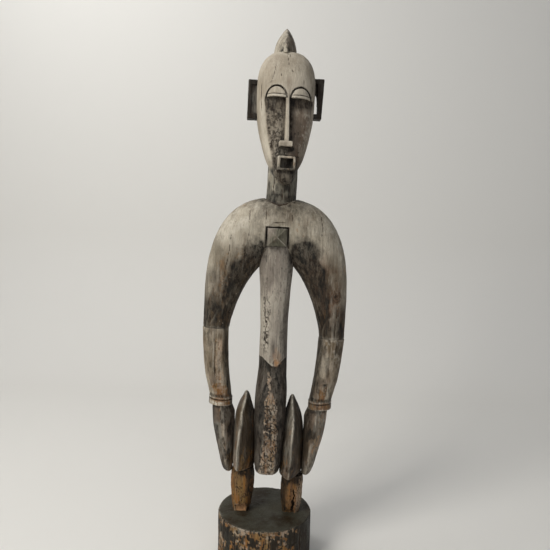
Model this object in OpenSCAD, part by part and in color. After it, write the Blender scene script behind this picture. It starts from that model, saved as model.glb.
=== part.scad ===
// Carved standing ancestor figure on a drum-shaped base, pegged together from wooden pieces.
//
// Z is up, the figure faces -Y, and the origin is the centre of the base's underside.
// "left" and "right" are the figure's own, so its left side is at +X.
// Heights called h are measured from figure_h0 above the table, in the frame of the figure,
// which leans a little on its base.

/* [Base] */
// Diameter of the drum
base_d = 204; // [190:1:240]
// Height of the drum
base_h = 94; // [80:1:98]
// Width of the bevel round the top and bottom edges
base_bevel = 2; // [1:0.5:5]

/* [Stance] */
// Sideways lean of the whole figure towards its left, in degrees
lean = 1.45; // [0:0.05:2]
// Turn of the head towards the figure's left, in degrees
head_turn = 4; // [-8:1:8]

/* [Legs] */
// Distance between the middles of the legs
leg_spacing = 108; // [106:1:112]
// Radius of a leg under the thigh
leg_r = 23; // [20:0.5:23.5]
// Radius of a leg where it stands on the base
ankle_r = 18.5; // [17:0.5:20]
// Height of the lower end of the right thigh
right_thigh_h = 97; // [90:1:100]
// Height of the lower end of the left thigh
left_thigh_h = 85; // [84:1:100]

/* [Arms and shoulders] */
// Width over the shoulders
shoulder_span = 303; // [290:1:320]
// Height of the top of the shoulders
shoulder_h = 683; // [675:1:690]
// Width between the upper arms at the elbow
arch_w = 196; // [185:1:200]
// Height of the seam at the right elbow
right_elbow_h = 402; // [385:1:410]
// Height of the seam at the left elbow
left_elbow_h = 390; // [385:1:410]
// Radius of a bracelet
bracelet_r = 25.5; // [24:0.5:27]

/* [Head] */
// Height of the tip of the crest
crest_h = 1029; // [1010:1:1050]
// Reach of the ears from the middle of the head
ear_reach = 78; // [74:1:86]

/* [Joinery] */
// Radius of the tenon at each end of a leg
leg_tenon_r = 14; // [10:0.5:15]
// Depth of the leg mortises in the base
base_mortise = 50; // [30:1:60]
// Radius of an elbow dowel
dowel_r = 7; // [5:0.5:9]
// Radius of the small dowels and pegs
peg_r = 5; // [3:0.5:6]
// Glue gap all round a tenon, dowel or peg
gap = 0.1; // [0.05:0.05:0.2]

/* [Hidden] */
RIGHT = -1;
LEFT = 1;

grey_wood = "#8d8473";
dark_wood = "#4a463d";
pale_wood = "#a99d89";
bare_wood = "#a2794c";

seg = 32;               // points round a carved section
slack = 0.4;            // clearance round a housing that is carved, not drilled

figure_h0 = 90;         // height above the table where the figure's own heights start
leg_shift = 2.6;        // how far the legs stand to the left of the figure's middle
ankle_h = 25;           // a leg widens quickly up to here, and slowly up to knee_h
knee_h = 50;

// Faces that two neighbouring pieces share
hip_x = 27;             // half width of the hip block between the thighs
hip_flare = 0.21;       // how fast the hips widen above hip_flare_h
hip_flare_h = 215;
hand_x = 75;            // where a hand lies against its thigh
function hip_side(h) = hip_x + hip_flare * max(0, h - hip_flare_h);

// Trunk: it enters the shoulders with a full-width housing and a round tenon
trunk_top_h = 577;
trunk_tenon_r = 20;
trunk_tenon_h = 640;
trunk_neck_h = 540;     // above this the trunk keeps one section
trunk_w = 36.3;
trunk_d = 42;
trunk_n = 2.2;

// Neck: a post with a tenon at each end
neck_r = 31.5;
neck_foot_h = 662;
neck_head_h = 768;
neck_tenon_r = 16;
neck_tenon_l = 40;
neck_y = 3;

// Arms
wrist_x = 107;
wrist_h = 254;
bracelet_t = 19;
wrist_tenon_r = 15;
wrist_tenon_l = 52;
elbow_dowel_l = 60;
hand_top_h = wrist_h - bracelet_t;

// Stud on the chest: a pyramid-headed peg that locks the trunk's tenon
stud_w = 47;
stud_tall = 40;
stud_h = 598;
stud_y = -40;
stud_edge = 10;
stud_rise = 6;
stud_shank_r = 8;
stud_shank_l = 56;

// Face
eye_x = 25.5;
eye_y = -38;
eye_h = 879;            // height of the lower edge of the eyelids
eye_w = 20;
eye_d = 24;
eye_tall = 23;
nostril_h = 777;
nostril_w = 13.8;
nostril_t = 10;
mouth_h = 744.5;
mouth_w = 18;
mouth_tall = 27;
lip_t = 5;

// Crest
crest_foot_h = 966;
crest_w = 22;
crest_d = 36;
crest_x = -5.5;
crest_y = 6;
crest_point = 0.6;      // half width left at the very tip

// Ears: a bracket let into the side of the head
right_ear_hs = [840, 918];
left_ear_hs = [847, 928];
ear_bar = 9;
ear_wall = 7;
ear_d = 24;
ear_y = 4;
ear_web = 6;
ear_mortise_x = 50;
ear_web_x = 62;
ear_slit = 9;           // width of the slit cut through the left ear's web

thigh_dowel_hs = [175, 215];
thigh_dowel_l = 36;
leg_tenon_l = 45;       // above the leg's shoulder
hand_dowel_h = 165;
hand_dowel_l = 26;
neck_peg_h = 650;
neck_peg_l = 37;
crest_dowel_l = 44;

// Sections of the lofted pieces: height, half width, reach to the front, reach to the back,
// and where the section's middle is, across and front to back
trunk_keys = [
    [90, 20, 26, 30, 0, 0], [94, 26, 36, 40, 0, 0], [106, 30, 42, 47, 0, 0],
    [150, 32, 45, 50, 0, 0], [205, 33, 46, 50, 0, 0], [250, 36, 44, 45, 0, 0],
    [275, 33.5, 42, 41, 0, 0], [305, 31, 40, 38, 0, 0], [360, 29.3, 41, 36, 0, 0],
    [430, 29.5, 41, 36, 0, 0], [490, 32.8, 41, 39, 0, 0],
    [trunk_neck_h, trunk_w, trunk_d, trunk_d, 0, 0],
    [trunk_top_h, trunk_w, trunk_d, trunk_d, 0, 0]
];
thigh_keys = [
    [0, 22, 40, 42, 51, 0], [8, 24, 45, 48, 51, 0], [55, 25, 48, 52, 51, 0],
    [108, 24, 44, 44, 51, 0], [128, 19.5, 37, 33, 50, 0], [140, 15, 30, 25, 49.5, 0],
    [152, 11.5, 22, 18, 49, 0], [164, 6, 12, 10, 49, 0], [170, 1, 3, 3, 49, 0]
];
thigh_key_h = 96;       // the height that the thigh's own heights are measured from
forearm_keys = [
    [254, 23.5, 25, 25, 107, 0], [275, 24.5, 26, 26, 111.5, 0], [297, 25.5, 27, 27, 116, 0],
    [325, 26.3, 28, 28, 119.5, 0], [360, 26.8, 29, 29, 122.5, 0], [412, 27.8, 30, 30, 124, 0]
];
hand_keys = [
    [85, 2.5, 3, 3, 82.5, 0], [88, 7.5, 8, 8, 83, 0], [94, 10.5, 12, 12, 84, 0],
    [104, 13.5, 16, 16, 85.5, 0], [125, 17.5, 21, 21, 88, 0], [149, 20.5, 25, 24, 91, 0],
    [171, 23, 27, 26, 94, 0], [195, 24.5, 27, 26, 97, 0], [214, 25, 26, 25, 98.5, 0],
    [235, 21.3, 23, 23, 103, 0]
];
head_keys = [
    [704, 9, 12, 10, 0, -44], [708, 14, 17, 16, 0, -43], [722, 20, 28, 30, 0, -36],
    [735, 26, 42, 44, 0, -24], [755, 35, 56, 50, 0, -11], [776, 42, 59, 55, 0, -5],
    [797, 48.3, 60, 60, 0, 0], [839, 57.6, 61, 68, 0, 4], [880, 60.5, 62, 73, 0, 5],
    [903, 60.8, 62, 72, 0, 5], [926, 59.2, 58, 67, 0, 5], [941, 56.2, 53, 61, 0, 5],
    [955, 50, 45, 52, 0, 5], [966, 41, 36, 42, 0, 5], [974, 28, 25, 29, 0, 5],
    [978, 12, 12, 14, 0, 5]
];

// A smooth curve through rows of key values, read at x in their first column
function key_before(k, x, i = 0) = i >= len(k) - 2 || x <= k[i + 1][0] ? i : key_before(k, x, i + 1);
function slope(k, i) =
    let (a = max(i - 1, 0), b = min(i + 1, len(k) - 1))
    (k[b] - k[a]) / (k[b][0] - k[a][0]);
function at(k, x) =
    let (i = key_before(k, x), d = k[i + 1][0] - k[i][0], t = (x - k[i][0]) / d)
    (2 * t ^ 3 - 3 * t ^ 2 + 1) * k[i] + (t ^ 3 - 2 * t ^ 2 + t) * d * slope(k, i)
    + (3 * t ^ 2 - 2 * t ^ 3) * k[i + 1] + (t ^ 3 - t ^ 2) * d * slope(k, i + 1);

function swell(c, n) = sign(c) * abs(c) ^ (2 / n);
function smooth(t) = t * t * (3 - 2 * t);

// A carved cross section: nf shapes its front and nb its back, 1 sharp and 2 an ellipse
function section(row, nf, nb) = [
    for (i = [0 : seg - 1])
        let (a = 360 * i / seg, front = sin(a) < 0, n = front ? nf : nb)
        [
            row[4] + row[1] * swell(cos(a), n),
            row[5] + (front ? row[2] : row[3]) * swell(sin(a), n),
            row[0]
        ]
];

// Skins a list of rings, each of seg points, and closes both ends
module skin(rings) {
    n = len(rings);
    polyhedron(
        points = [for (r = rings) each r],
        faces = [
            [for (i = [0 : seg - 1]) i],
            for (r = [0 : n - 2], i = [0 : seg - 1])
                let (j = (i + 1) % seg, a = r * seg + i, b = r * seg + j)
                each [[a, a + seg, b + seg], [a, b + seg, b]],
            [for (i = [seg - 1 : -1 : 0]) (n - 1) * seg + i]
        ],
        convexity = 4
    );
}

// Rings of a loft, with each point's x held between low(h) and high(h)
function clipped(ring, low, high) = [for (p = ring) [min(max(p.x, low), high), p.y, p.z]];

// Places a piece that is drawn in the figure's frame
module figure() {
    translate([0, 0, figure_h0])
        rotate([0, lean, 0])
            children();
}

// Places a piece that is drawn in the head's frame
module on_neck() {
    figure()
        rotate([0, 0, head_turn])
            children();
}

// A round bar from one point along an axis
module bar(from, axis, r, l) {
    translate(from)
        rotate(axis == "x" ? [0, 90, 0] : axis == "y" ? [-90, 0, 0] : [0, 0, 0])
            cylinder(r = r, h = l, $fn = 48);
}

// Everything below the top of the base, apart from the mortises
module ground() {
    translate([-base_d, -base_d, -base_h])
        cube([2 * base_d, 2 * base_d, 2 * base_h]);
}

function thigh_foot(side) = side == RIGHT ? right_thigh_h : left_thigh_h;
function elbow_h(side) = side == RIGHT ? right_elbow_h : left_elbow_h;
function leg_x(side) = leg_shift + side * leg_spacing / 2;
function ear_hs(side) = side == RIGHT ? right_ear_hs : left_ear_hs;

module base() {
    color(dark_wood)
        difference() {
            rotate_extrude($fn = 96)
                polygon([
                    [0, 0], [base_d / 2 - base_bevel, 0], [base_d / 2, base_bevel],
                    [base_d / 2, base_h - base_bevel], [base_d / 2 - base_bevel, base_h], [0, base_h]
                ]);
            for (side = [RIGHT, LEFT])
                figure()
                    bar([leg_x(side), 0, -base_mortise], "z", leg_tenon_r + gap, base_mortise + 15);
        }
}

module leg(side) {
    foot = thigh_foot(side);
    color(bare_wood)
        union() {
            difference() {
                figure()
                    translate([leg_x(side), 0, 0])
                        rotate_extrude($fn = 64)
                            polygon([
                                [0, -20], [ankle_r, -20], [ankle_r, 0],
                                [ankle_r + 0.7 * (leg_r - ankle_r), ankle_h], [leg_r, knee_h],
                                [leg_r, foot], [0, foot]
                            ]);
                ground();
            }
            figure()
                bar([leg_x(side), 0, gap - base_mortise], "z", leg_tenon_r, base_mortise + foot + leg_tenon_l - gap);
        }
}

module thigh_body(side) {
    foot = thigh_foot(side);
    tall = thigh_keys[len(thigh_keys) - 1][0];
    stretch = (thigh_key_h + tall - foot) / tall;
    skin([
        for (i = [0 : 22])
            let (
                u = tall * i / 22,
                h = foot + u * stretch,
                ring = [for (p = section(at(thigh_keys, u), 1.25, 2.3)) [p.x, p.y, h]]
            )
            clipped(ring, hip_side(h) + gap, hand_x - gap)
    ]);
}

module thigh(side) {
    foot = thigh_foot(side);
    color(dark_wood)
        figure()
            difference() {
                mirror([side == RIGHT ? 1 : 0, 0, 0])
                    thigh_body(side);
                bar([leg_x(side), 0, foot - 5], "z", leg_tenon_r + gap, leg_tenon_l + 5 + gap);
                thigh_dowels_at(side, gap);
                hand_dowel_at(side, gap);
            }
}

module thigh_dowels_at(side, grow) {
    for (h = thigh_dowel_hs)
        bar([side * hip_x - thigh_dowel_l / 2 - grow, 0, h], "x", peg_r + grow, thigh_dowel_l + 2 * grow);
}

module hand_dowel_at(side, grow) {
    bar([side * hand_x - hand_dowel_l / 2 - grow, 0, hand_dowel_h], "x", peg_r - 1 + grow, hand_dowel_l + 2 * grow);
}

module thigh_dowels(side) {
    color(bare_wood)
        figure()
            thigh_dowels_at(side, 0);
}

module hand_dowel(side) {
    color(bare_wood)
        figure()
            hand_dowel_at(side, 0);
}

// The trunk is squared off where it meets the thighs and rounded above them
function trunk_squareness(h) = trunk_n + 3 * (1 - smooth(min(1, max(0, (h - 230) / 80))));

module trunk() {
    foot = trunk_keys[0][0];
    color(grey_wood)
        figure()
            difference() {
                union() {
                    skin([
                        for (i = [0 : 40])
                            let (h = foot + (trunk_top_h - foot) * i / 40, n = trunk_squareness(h))
                            clipped(section(at(trunk_keys, h), n, n), -hip_side(h), hip_side(h))
                    ]);
                    bar([0, 0, trunk_top_h - 10], "z", trunk_tenon_r, trunk_tenon_h - trunk_top_h + 10);
                }
                for (side = [RIGHT, LEFT])
                    thigh_dowels_at(side, gap);
                stud_shank(gap);
            }
}

// The shoulder arch: its outer and inner outlines, from the elbow (s = 0) to the middle (s = 1)
arch_spring_h = 456;
arch_inner_h = 380;
arch_inner_top = 560;
elbow_d = 30;           // half depth of an arm at the elbow
shoulder_d = 48;        // and of the shoulders in the middle
arm_n = 2.2;
arch_outer_n = 2.6;
arch_inner_n = 1.6;
arch_straight = 0.2;
function outer_point(s, side) =
    s < arch_straight
    ? [shoulder_span / 2, elbow_h(side) + (arch_spring_h - elbow_h(side)) * s / arch_straight]
    : let (a = 90 * (s - arch_straight) / (1 - arch_straight))
      [shoulder_span / 2 * swell(cos(a), arch_outer_n),
       arch_spring_h + (shoulder_h - arch_spring_h) * swell(sin(a), arch_outer_n)];
function inner_point(s, side) =
    let (
        rise = arch_inner_top - arch_inner_h,
        a0 = asin(((elbow_h(side) - arch_inner_h) / rise) ^ (arch_inner_n / 2)),
        a = a0 + (90 - a0) * s
    )
    [arch_w / 2 * swell(cos(a), arch_inner_n), arch_inner_h + rise * swell(sin(a), arch_inner_n)];

function yoke_ring(u) =
    let (
        side = u < 0 ? RIGHT : LEFT,
        s = 1 - abs(u),
        o = outer_point(s, side),
        p = inner_point(s, side),
        middle = (o + p) / 2,
        half = (o - p) / 2,
        depth = elbow_d + (shoulder_d - elbow_d) * smooth(s)
    )
    [
        for (i = [0 : seg - 1])
            let (a = 360 * i / seg, c = swell(cos(a), arm_n))
            [side * (middle.x + half.x * c), -depth * swell(sin(a), arm_n), middle.y + half.y * c]
    ];

module shoulder_yoke() {
    steps = 20;
    color(grey_wood)
        figure()
            difference() {
                skin([for (i = [-steps : steps]) yoke_ring(i / steps)]);
                translate([0, 0, trunk_neck_h - 60])
                    linear_extrude(trunk_top_h - trunk_neck_h + 60 + gap)
                        polygon([
                            for (p = section([0, trunk_w + slack, trunk_d + slack, trunk_d + slack, 0, 0], trunk_n, trunk_n))
                                [p.x, p.y]
                        ]);
                bar([0, 0, trunk_top_h - 10], "z", trunk_tenon_r + gap, trunk_tenon_h - trunk_top_h + 10 + gap);
                bar([0, neck_y, neck_foot_h], "z", neck_r + gap, 60);
                bar([0, neck_y, neck_foot_h - neck_tenon_l / 2], "z", neck_tenon_r + gap, neck_tenon_l);
                stud_shank(gap);
                stud_groove(1.5);
                neck_peg_at(gap);
                for (side = [RIGHT, LEFT])
                    elbow_dowel_at(side, gap);
            }
}

module elbow_dowel_at(side, grow) {
    bar([side * 124, 0, elbow_h(side) - elbow_dowel_l / 2 - grow], "z", dowel_r + grow, elbow_dowel_l + 2 * grow);
}

module elbow_dowel(side) {
    color(bare_wood)
        figure()
            elbow_dowel_at(side, 0);
}

module forearm(side) {
    top = elbow_h(side);
    color(grey_wood)
        figure()
            difference() {
                union() {
                    mirror([side == RIGHT ? 1 : 0, 0, 0])
                        skin([
                            for (i = [0 : 14])
                                section(at(forearm_keys, wrist_h + (top - wrist_h) * i / 14), 2.1, 2.1)
                        ]);
                    bar([side * wrist_x, 0, wrist_h - wrist_tenon_l], "z", wrist_tenon_r, wrist_tenon_l + 10);
                }
                elbow_dowel_at(side, gap);
            }
}

module bracelet(side) {
    inner = wrist_tenon_r + gap;
    color(pale_wood)
        figure()
            translate([side * wrist_x, 0, hand_top_h])
                rotate_extrude($fn = 64)
                    polygon([
                        [inner, 0], [bracelet_r - 2, 0], [bracelet_r, 4],
                        [bracelet_r, bracelet_t - 4], [bracelet_r - 2, bracelet_t], [inner, bracelet_t]
                    ]);
}

module hand(side) {
    tip = hand_keys[0][0];
    color(grey_wood)
        figure()
            difference() {
                mirror([side == RIGHT ? 1 : 0, 0, 0])
                    skin([
                        for (i = [0 : 20])
                            let (h = tip + (hand_top_h - tip) * (i / 20) ^ 1.3)
                            clipped(section(at(hand_keys, h), 1.7, 2), hand_x + gap, 200)
                    ]);
                bar([side * wrist_x, 0, wrist_h - wrist_tenon_l - gap], "z", wrist_tenon_r + gap, wrist_tenon_l);
                hand_dowel_at(side, gap);
            }
}

module neck() {
    color(dark_wood)
        figure()
            difference() {
                union() {
                    bar([0, neck_y, neck_foot_h], "z", neck_r, neck_head_h - neck_foot_h);
                    bar([0, neck_y, neck_foot_h - neck_tenon_l / 2 + gap], "z", neck_tenon_r, neck_tenon_l);
                    bar([0, neck_y, neck_head_h - 5], "z", neck_tenon_r, neck_tenon_l);
                }
                neck_peg_at(gap);
            }
}

module neck_peg_at(grow) {
    bar([0, neck_y + 2 - grow, neck_peg_h], "y", peg_r + grow, neck_peg_l + grow);
}

module neck_peg() {
    color(bare_wood)
        figure()
            neck_peg_at(0);
}

// Eyelids: each is the upper half of a dome, cut off flat below
module eyelid(side) {
    intersection() {
        translate([side * eye_x, eye_y, eye_h])
            scale([eye_w, eye_d, eye_tall])
                sphere(1, $fn = 36);
        translate([-100, -100, eye_h])
            cube([200, 100, 50]);
    }
}

// Cheeks: each is a scoop beside the nose, narrowing towards the mouth
module cheek(side) {
    hull() {
        translate([side * eye_x, -66, eye_h])
            cylinder(r = 20, h = 0.1, $fn = 32);
        translate([side * 17, -73, mouth_h])
            cylinder(r = 10, h = 0.1, $fn = 32);
    }
}

// The blade of the nose, and the bar of the nostrils under it
module nose() {
    hull() {
        translate([-3, -61, 886])
            cube([6, 14, 10]);
        translate([-5, -73, nostril_h])
            cube([10, 25, 2]);
    }
    translate([-nostril_w, -75, nostril_h])
        cube([2 * nostril_w, 25, nostril_t]);
}

// The frame of the mouth and the hollow in it
module mouth() {
    difference() {
        translate([-mouth_w, -79, mouth_h - mouth_tall / 2])
            cube([2 * mouth_w, 30, mouth_tall]);
        translate([lip_t - mouth_w, -80, mouth_h - mouth_tall / 2 + lip_t])
            cube([2 * (mouth_w - lip_t), 16, mouth_tall - 2 * lip_t]);
    }
}

module head_block() {
    foot = head_keys[0][0];
    tall = head_keys[len(head_keys) - 1][0] - foot;
    skin([for (i = [0 : 36]) section(at(head_keys, foot + tall * smooth(i / 36)), 2.2, 2.1)]);
}

module head() {
    color(pale_wood)
        on_neck()
            difference() {
                union() {
                    difference() {
                        head_block();
                        for (side = [RIGHT, LEFT])
                            cheek(side);
                    }
                    for (side = [RIGHT, LEFT])
                        eyelid(side);
                    nose();
                    mouth();
                }
                bar([0, neck_y, 680], "z", neck_r + gap, neck_head_h - 680 + gap);
                bar([0, neck_y, neck_head_h - 5], "z", neck_tenon_r + gap, neck_tenon_l + gap);
                translate([0, 0, crest_foot_h])
                    linear_extrude(30)
                        polygon([for (p = crest_section(0, slack)) [p.x, p.y]]);
                crest_dowel_at(gap);
                for (side = [RIGHT, LEFT])
                    ear_bars(side, gap);
            }
}

function crest_section(u, grow) =
    let (w = 1 - u ^ 2.6, d = crest_d * w + crest_point + grow)
    section([0, crest_w * w + crest_point + grow, d, d, crest_x + 1.5 * u, crest_y + 4 * u], 1.6, 1.8);

module crest() {
    color(pale_wood)
        on_neck()
            difference() {
                skin([
                    for (i = [0 : 16])
                        let (u = i / 16)
                        [for (p = crest_section(u, 0)) [p.x, p.y, crest_foot_h + (crest_h - crest_foot_h) * u]]
                ]);
                crest_dowel_at(gap);
            }
}

module crest_dowel_at(grow) {
    bar([crest_x, crest_y, crest_foot_h - crest_dowel_l / 2 - grow], "z", peg_r + grow, crest_dowel_l + 2 * grow);
}

module crest_dowel() {
    color(bare_wood)
        on_neck()
            crest_dowel_at(0);
}

// The two bars of an ear, which run on into the head as tenons
module ear_bars(side, grow) {
    hs = ear_hs(side);
    for (h = [hs[0], hs[1] - ear_bar])
        translate([side < 0 ? -ear_reach : ear_mortise_x - grow, ear_y - ear_d / 2 - grow, h - grow])
            cube([ear_reach - ear_mortise_x + grow, ear_d + 2 * grow, ear_bar + 2 * grow]);
}

module ear(side) {
    foot = ear_hs(side)[0];
    tall = ear_hs(side)[1] - foot;
    color(dark_wood)
        on_neck()
            union() {
                ear_bars(side, 0);
                translate([side < 0 ? -ear_reach : ear_reach - ear_wall, ear_y - ear_d / 2, foot])
                    cube([ear_wall, ear_d, tall]);
                web_x = ear_web_x + (side == LEFT ? ear_slit : 0);
                translate([side < 0 ? -ear_reach : web_x, ear_y, foot])
                    cube([ear_reach - web_x, ear_web, tall]);
            }
}

// The groove round the stud, open to the front
module stud_groove(wide) {
    translate([-stud_w / 2 - wide, stud_y - 40, stud_h - stud_tall / 2 - wide])
        cube([stud_w + 2 * wide, 40, stud_tall + 2 * wide]);
}

module stud_shank(grow) {
    bar([0, stud_y - 1, stud_h], "y", stud_shank_r + grow, stud_shank_l + grow);
}

module chest_stud() {
    w = stud_w / 2;
    t = stud_tall / 2;
    color(grey_wood)
        figure()
            union() {
                translate([0, stud_y, stud_h])
                    rotate([90, 0, 0])
                        polyhedron(
                            points = [
                                [-w, -t, 0], [w, -t, 0], [w, t, 0], [-w, t, 0],
                                [-w, -t, stud_edge], [w, -t, stud_edge], [w, t, stud_edge], [-w, t, stud_edge],
                                [0, 0, stud_edge + stud_rise]
                            ],
                            faces = [
                                [0, 1, 2, 3],
                                for (i = [0 : 3])
                                    let (j = (i + 1) % 4)
                                    each [[i, i + 4, j + 4, j], [i + 4, 8, j + 4]]
                            ]
                        );
                stud_shank(0);
            }
}

base();
leg(RIGHT);  // right_leg
leg(LEFT);  // left_leg
thigh(RIGHT);  // right_thigh
thigh(LEFT);  // left_thigh
trunk();
shoulder_yoke();
forearm(RIGHT);  // right_forearm
forearm(LEFT);  // left_forearm
bracelet(RIGHT);  // right_bracelet
bracelet(LEFT);  // left_bracelet
hand(RIGHT);  // right_hand
hand(LEFT);  // left_hand
neck();
head();
crest();
ear(RIGHT);  // right_ear
ear(LEFT);  // left_ear
chest_stud();
elbow_dowel(RIGHT);  // right_elbow_dowel
elbow_dowel(LEFT);  // left_elbow_dowel
thigh_dowels(RIGHT);  // right_thigh_dowels
thigh_dowels(LEFT);  // left_thigh_dowels
hand_dowel(RIGHT);  // right_hand_dowel
hand_dowel(LEFT);  // left_hand_dowel
neck_peg();
crest_dowel();
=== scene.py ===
"""Ancestor figure carved from hardwood: the looks of every piece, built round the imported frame.

Each carved piece is described as a solid in millimetres, in the figure's own upright frame:
h is the height along the leaning body, the figure faces -y, and its own left side is at +x.
The solid is meshed, then cut with adze facets, drying cracks and flaked patina, and stood
in its place by the same lean that its CAD node has.
"""

import math

import bpy
import numpy as np
from bpy.props import FloatProperty, FloatVectorProperty, IntProperty, PointerProperty
from mathutils import Matrix, Vector


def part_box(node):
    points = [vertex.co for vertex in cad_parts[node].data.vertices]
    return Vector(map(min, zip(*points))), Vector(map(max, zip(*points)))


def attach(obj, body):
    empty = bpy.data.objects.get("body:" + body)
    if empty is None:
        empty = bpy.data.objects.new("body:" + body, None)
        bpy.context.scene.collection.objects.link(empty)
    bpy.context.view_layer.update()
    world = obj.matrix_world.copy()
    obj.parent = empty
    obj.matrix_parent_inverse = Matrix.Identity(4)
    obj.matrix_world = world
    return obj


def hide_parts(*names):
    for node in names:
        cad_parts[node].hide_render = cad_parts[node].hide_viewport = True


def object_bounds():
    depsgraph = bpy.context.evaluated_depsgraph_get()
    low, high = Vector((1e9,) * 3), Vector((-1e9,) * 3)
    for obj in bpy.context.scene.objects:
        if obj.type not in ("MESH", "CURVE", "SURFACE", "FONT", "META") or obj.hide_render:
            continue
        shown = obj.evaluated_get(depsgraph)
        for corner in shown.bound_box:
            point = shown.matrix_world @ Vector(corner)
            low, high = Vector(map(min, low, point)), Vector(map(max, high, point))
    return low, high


bl_info = {
    "name": "Carved ancestor figure",
    "version": (1, 0, 0),
    "blender": (4, 5, 0),
    "location": "View3D > Sidebar > Figure",
    "description": "Builds a weathered hardwood ancestor figure around its packed frame",
    "category": "Object",
}

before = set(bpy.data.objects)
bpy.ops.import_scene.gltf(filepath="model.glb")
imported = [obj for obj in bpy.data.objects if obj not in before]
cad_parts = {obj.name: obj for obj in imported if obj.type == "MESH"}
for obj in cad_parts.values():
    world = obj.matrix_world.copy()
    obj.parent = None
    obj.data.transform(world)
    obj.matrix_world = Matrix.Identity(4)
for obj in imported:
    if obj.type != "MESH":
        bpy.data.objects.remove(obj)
CAD_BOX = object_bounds()

MM = 0.001
RIGHT, LEFT = -1, 1
SIDES = {RIGHT: "right", LEFT: "left"}
BODY = "root"


# ---------------------------------------------------------------- places taken from the frame

def corners(node):
    """A node's lowest and highest corners, in millimetres."""
    low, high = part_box(node)
    return np.array(low) / MM, np.array(high) / MM


def middle(node):
    low, high = corners(node)
    return (low + high) / 2


BASE_LOW, BASE_HIGH = corners("base")
BASE_R = (BASE_HIGH[0] - BASE_LOW[0]) / 2
BASE_H = BASE_HIGH[2]
FOOT_H = 4  # height of the base's top in the figure's own frame
LEAN = math.atan2(middle("neck")[0], middle("neck")[2] - BASE_H + FOOT_H)
EAR_LINE = middle("left_ear") - middle("right_ear")
HEAD_TURN = math.atan2(EAR_LINE[1], EAR_LINE[0])
STAND = Matrix.Translation((0, 0, BASE_H - FOOT_H)) @ Matrix.Rotation(LEAN, 4, "Y")
ON_NECK = STAND @ Matrix.Rotation(HEAD_TURN, 4, "Z")


def reach(node, stand=STAND):
    """A node's lowest and highest corners in the frame that it was carved in."""
    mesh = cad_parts[node].data
    points = np.empty(3 * len(mesh.vertices))
    mesh.vertices.foreach_get("co", points)
    back = np.array(stand.inverted())
    points = points.reshape(-1, 3) / MM @ back[:3, :3].T + back[:3, 3]
    return points.min(axis=0), points.max(axis=0)


# ---------------------------------------------------------------- solids as distance fields

def blend_in(a, b, k):
    """The union of two solids, with a fillet of about k."""
    t = np.clip(0.5 + 0.5 * (b - a) / k, 0, 1)
    return b + (a - b) * t - k * t * (1 - t)


def cut_out(a, b, k):
    """Solid a without solid b, with the edge eased by about k."""
    return -blend_in(-a, b, k)


def both(a, b, k):
    """What two solids share, with the edge eased by about k."""
    return -blend_in(-a, -b, k)


def block(p, centre, half, r=1.0):
    """A box with edges of radius r."""
    q = [np.abs(p[i] - centre[i]) - half[i] + r for i in range(3)]
    outside = np.sqrt(sum(np.maximum(c, 0) ** 2 for c in q))
    return outside + np.minimum(np.maximum(np.maximum(q[0], q[1]), q[2]), 0) - r


def dome(p, centre, radii):
    """An ellipsoid."""
    q = [(p[i] - centre[i]) / radii[i] for i in range(3)]
    k = np.sqrt(sum(c * c for c in q)) + 1e-9
    return (k - 1) * min(radii)


def ease(keys, h):
    """Reads rows of key values at the heights h along smooth curves. The first column is the height."""
    keys = np.asarray(keys, float)
    x = keys[:, 0]
    slopes = np.gradient(keys[:, 1:], x, axis=0)
    h = np.clip(h, x[0], x[-1])
    i = np.clip(np.searchsorted(x, h, side="right") - 1, 0, len(x) - 2)
    d = x[i + 1] - x[i]
    t = (h - x[i]) / d
    rows = []
    for c in range(keys.shape[1] - 1):
        a, b = keys[i, c + 1], keys[i + 1, c + 1]
        rows.append(
            (2 * t**3 - 3 * t**2 + 1) * a + (t**3 - 2 * t**2 + t) * d * slopes[i, c]
            + (3 * t**2 - 2 * t**3) * b + (t**3 - t**2) * d * slopes[i + 1, c]
        )
    return rows


def pillar(p, keys, n_front=2.1, n_back=2.1, ends=3.0):
    """A carved post. Each row of keys is a height, the left, right, front and back reach there, and the
    middle's x and y. n shapes the section: 1 is a sharp ridge, 2 an ellipse and 4 nearly square."""
    levels, which = np.unique(p[2], return_inverse=True)
    rows = [np.asarray(r)[which].reshape(p[2].shape) for r in ease(keys, levels)]
    left, right, front, back, cx, cy = rows
    u, v = p[0] - cx, p[1] - cy
    across = np.abs(u) / np.where(u < 0, left, right)
    depth = np.abs(v) / np.where(v < 0, front, back)
    n = np.where(v < 0, n_front, n_back)
    q = (across**n + depth**n + 1e-9) ** (1 / n)
    size = np.minimum(np.where(u < 0, left, right), np.where(v < 0, front, back))
    body = (q - 1) * size
    for end in (keys[0][0] - p[2], p[2] - keys[-1][0]):
        body = both(body, end, ends)
    return body


# ---------------------------------------------------------------- noise

def scramble(ix, iy, iz, seed):
    """A fixed value from 0 to 1 for each whole-number place."""
    with np.errstate(over="ignore"):
        h = (
            ix.astype(np.uint32) * np.uint32(374761393)
            + iy.astype(np.uint32) * np.uint32(668265263)
            + iz.astype(np.uint32) * np.uint32(2246822519)
            + np.uint32(seed * 3266489917 & 0xFFFFFFFF)
        )
        h = (h ^ (h >> np.uint32(13))) * np.uint32(1274126177)
        h = (h ^ (h >> np.uint32(15))) * np.uint32(2654435761)
    return (h ^ (h >> np.uint32(16))).astype(np.float64) / 4294967295.0


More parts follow.
